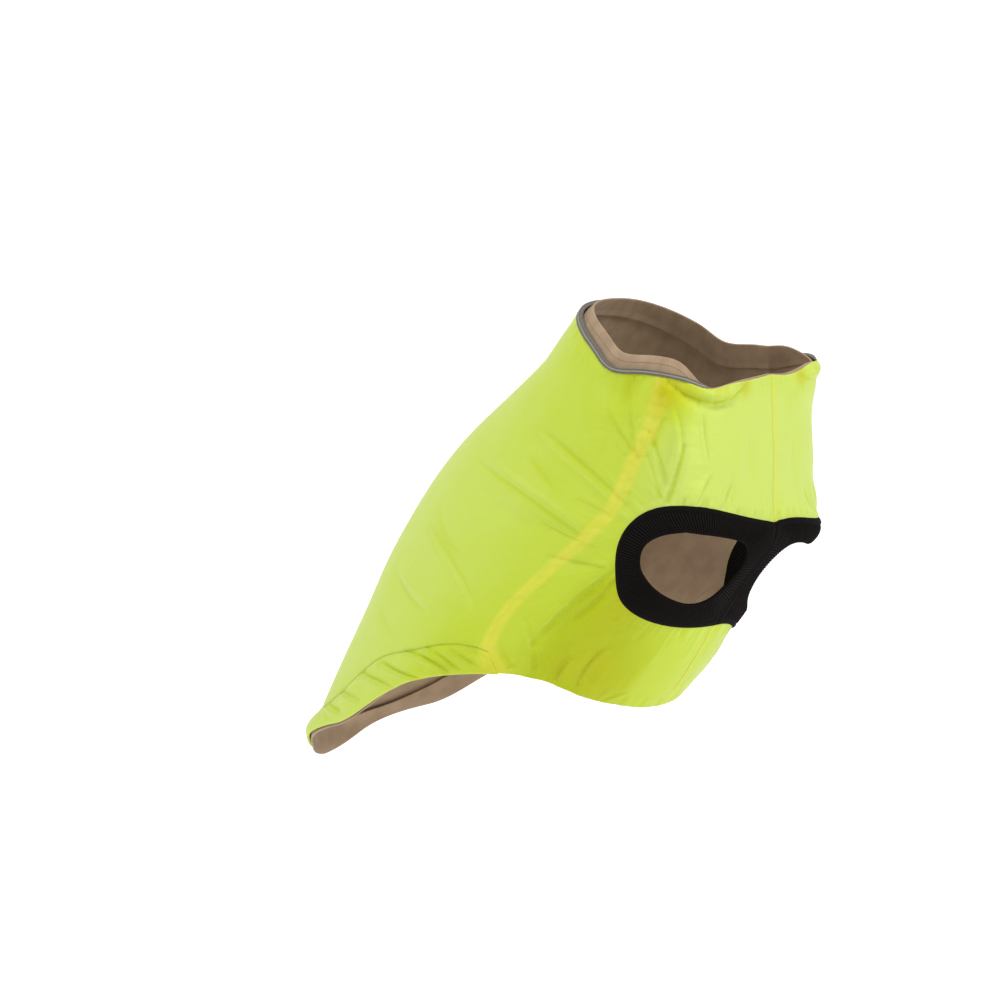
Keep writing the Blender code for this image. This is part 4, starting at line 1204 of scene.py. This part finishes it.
def add_camera():
    right, forward, up = look_directions()
    shift = (FRAME_CENTRE - FORM_PIXEL) / PIXELS_PER_MM
    aim = shift[0] * right - shift[1] * up
    data = bpy.data.cameras.new("camera")
    data.sensor_width = SENSOR
    data.lens = PIXELS_PER_MM * CAMERA_DISTANCE * SENSOR / (2 * FRAME_CENTRE[0])
    data.clip_start, data.clip_end = 0.1, 30
    camera = bpy.data.objects.new("camera", data)
    bpy.context.scene.collection.objects.link(camera)
    turned = Matrix((right, up, -forward)).transposed().to_4x4()
    where = Vector((aim - CAMERA_DISTANCE * forward - HOLD_POINT) * MM)
    camera.matrix_world = Matrix.Translation(where) @ turned
    bpy.context.scene.camera = camera


# Square soft lights, in metres from the jacket and in watts
# name, along_right, along_up, nearer, size, power
LIGHTS = (
    ("key", 2.0, 1.1, 1.2, 0.8, 37),
    ("fill", -2.1, 0.8, 1.1, 0.9, 23),
    ("overhead", -0.1, 2.2, 0.8, 0.9, 36),
)
LIT_PLACE = Vector((0.0, 0.0, -0.1))
WORLD_LIGHT = 0.26
FLOOR_COLOUR, FLOOR_GLOW = (0.55, 0.55, 0.55), 0.72
FLOOR_SIDE, FLOOR_FRONT, FLOOR_BACK = 5.0, 3.2, 2.6    # metres from the jacket
BACKDROP_BEND, BACKDROP_TOP = 0.9, 5.0


def add_light(name, along_right, along_up, nearer, size, power):
    right, forward, _ = look_directions()
    where = Vector(along_right * right + along_up * np.array([0, 0, 1]) - nearer * forward)
    data = bpy.data.lights.new(name, "AREA")
    data.shape = "SQUARE"
    data.size = size
    data.energy = power
    light = bpy.data.objects.new(name, data)
    bpy.context.scene.collection.objects.link(light)
    turned = (LIT_PLACE - where).to_track_quat("-Z", "Y").to_matrix().to_4x4()
    light.matrix_world = Matrix.Translation(where) @ turned


def add_floor():
    """A pale floor that curves up into a backdrop."""
    right, forward, _ = look_directions()
    ahead = np.array([forward[0], forward[1], 0]) / np.hypot(forward[0], forward[1])
    floor = -(FLOOR_DROP + HOLD_POINT[2]) * MM
    angle = np.linspace(0, np.pi / 2, 17)
    bend = [(FLOOR_BACK + BACKDROP_BEND * np.sin(t), BACKDROP_BEND * (1 - np.cos(t))) for t in angle]
    profile = [(-FLOOR_FRONT, 0.0), *bend, (FLOOR_BACK + BACKDROP_BEND, BACKDROP_TOP)]
    points = [tuple(away * ahead + side * right + np.array([0, 0, floor + height]))
              for away, height in profile for side in (-FLOOR_SIDE, FLOOR_SIDE)]
    faces = [(2 * i, 2 * i + 1, 2 * i + 3, 2 * i + 2) for i in range(len(profile) - 1)]
    mesh = bpy.data.meshes.new("floor")
    mesh.from_pydata(points, [], faces)
    mesh.shade_smooth()
    finish = Finish("pale floor", FLOOR_COLOUR, 0.9, 0.1)
    finish.set(finish.shader, "Emission Color", (1, 1, 1, 1))
    finish.set(finish.shader, "Emission Strength", FLOOR_GLOW)
    mesh.materials.append(finish.use())
    stage = bpy.data.objects.new("floor", mesh)
    bpy.context.scene.collection.objects.link(stage)


def add_studio():
    add_floor()
    world = bpy.data.worlds.new("studio")
    world.use_nodes = True
    background = world.node_tree.nodes["Background"]
    background.inputs["Color"].default_value = (1, 1, 1, 1)
    background.inputs["Strength"].default_value = WORLD_LIGHT
    bpy.context.scene.world = world
    bpy.context.scene.view_settings.view_transform = "Standard"
    for light in LIGHTS:
        add_light(*light)


def main():
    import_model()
    add_camera()
    add_studio()
    nylon, lining, knit = neon_nylon(), beige_lining(), black_rib()
    neon_thread = sewing_thread("neon thread", (0.42, 0.48, 0.01), 0.55, 0.4)
    beige_thread = sewing_thread("beige thread", (0.22, 0.15, 0.10), 0.6, 0.3)
    back_panel(nylon, lining)
    hem_casing(nylon, lining, neon_thread)
    for side, word in ((-1, "right"), (1, "left")):
        side_front(side, word, nylon, lining)
        armhole_rib(side, word, knit)
    neck_facing(lining, beige_thread)
    neck_piping(grey_piping())
    rump_facing(lining)


main()
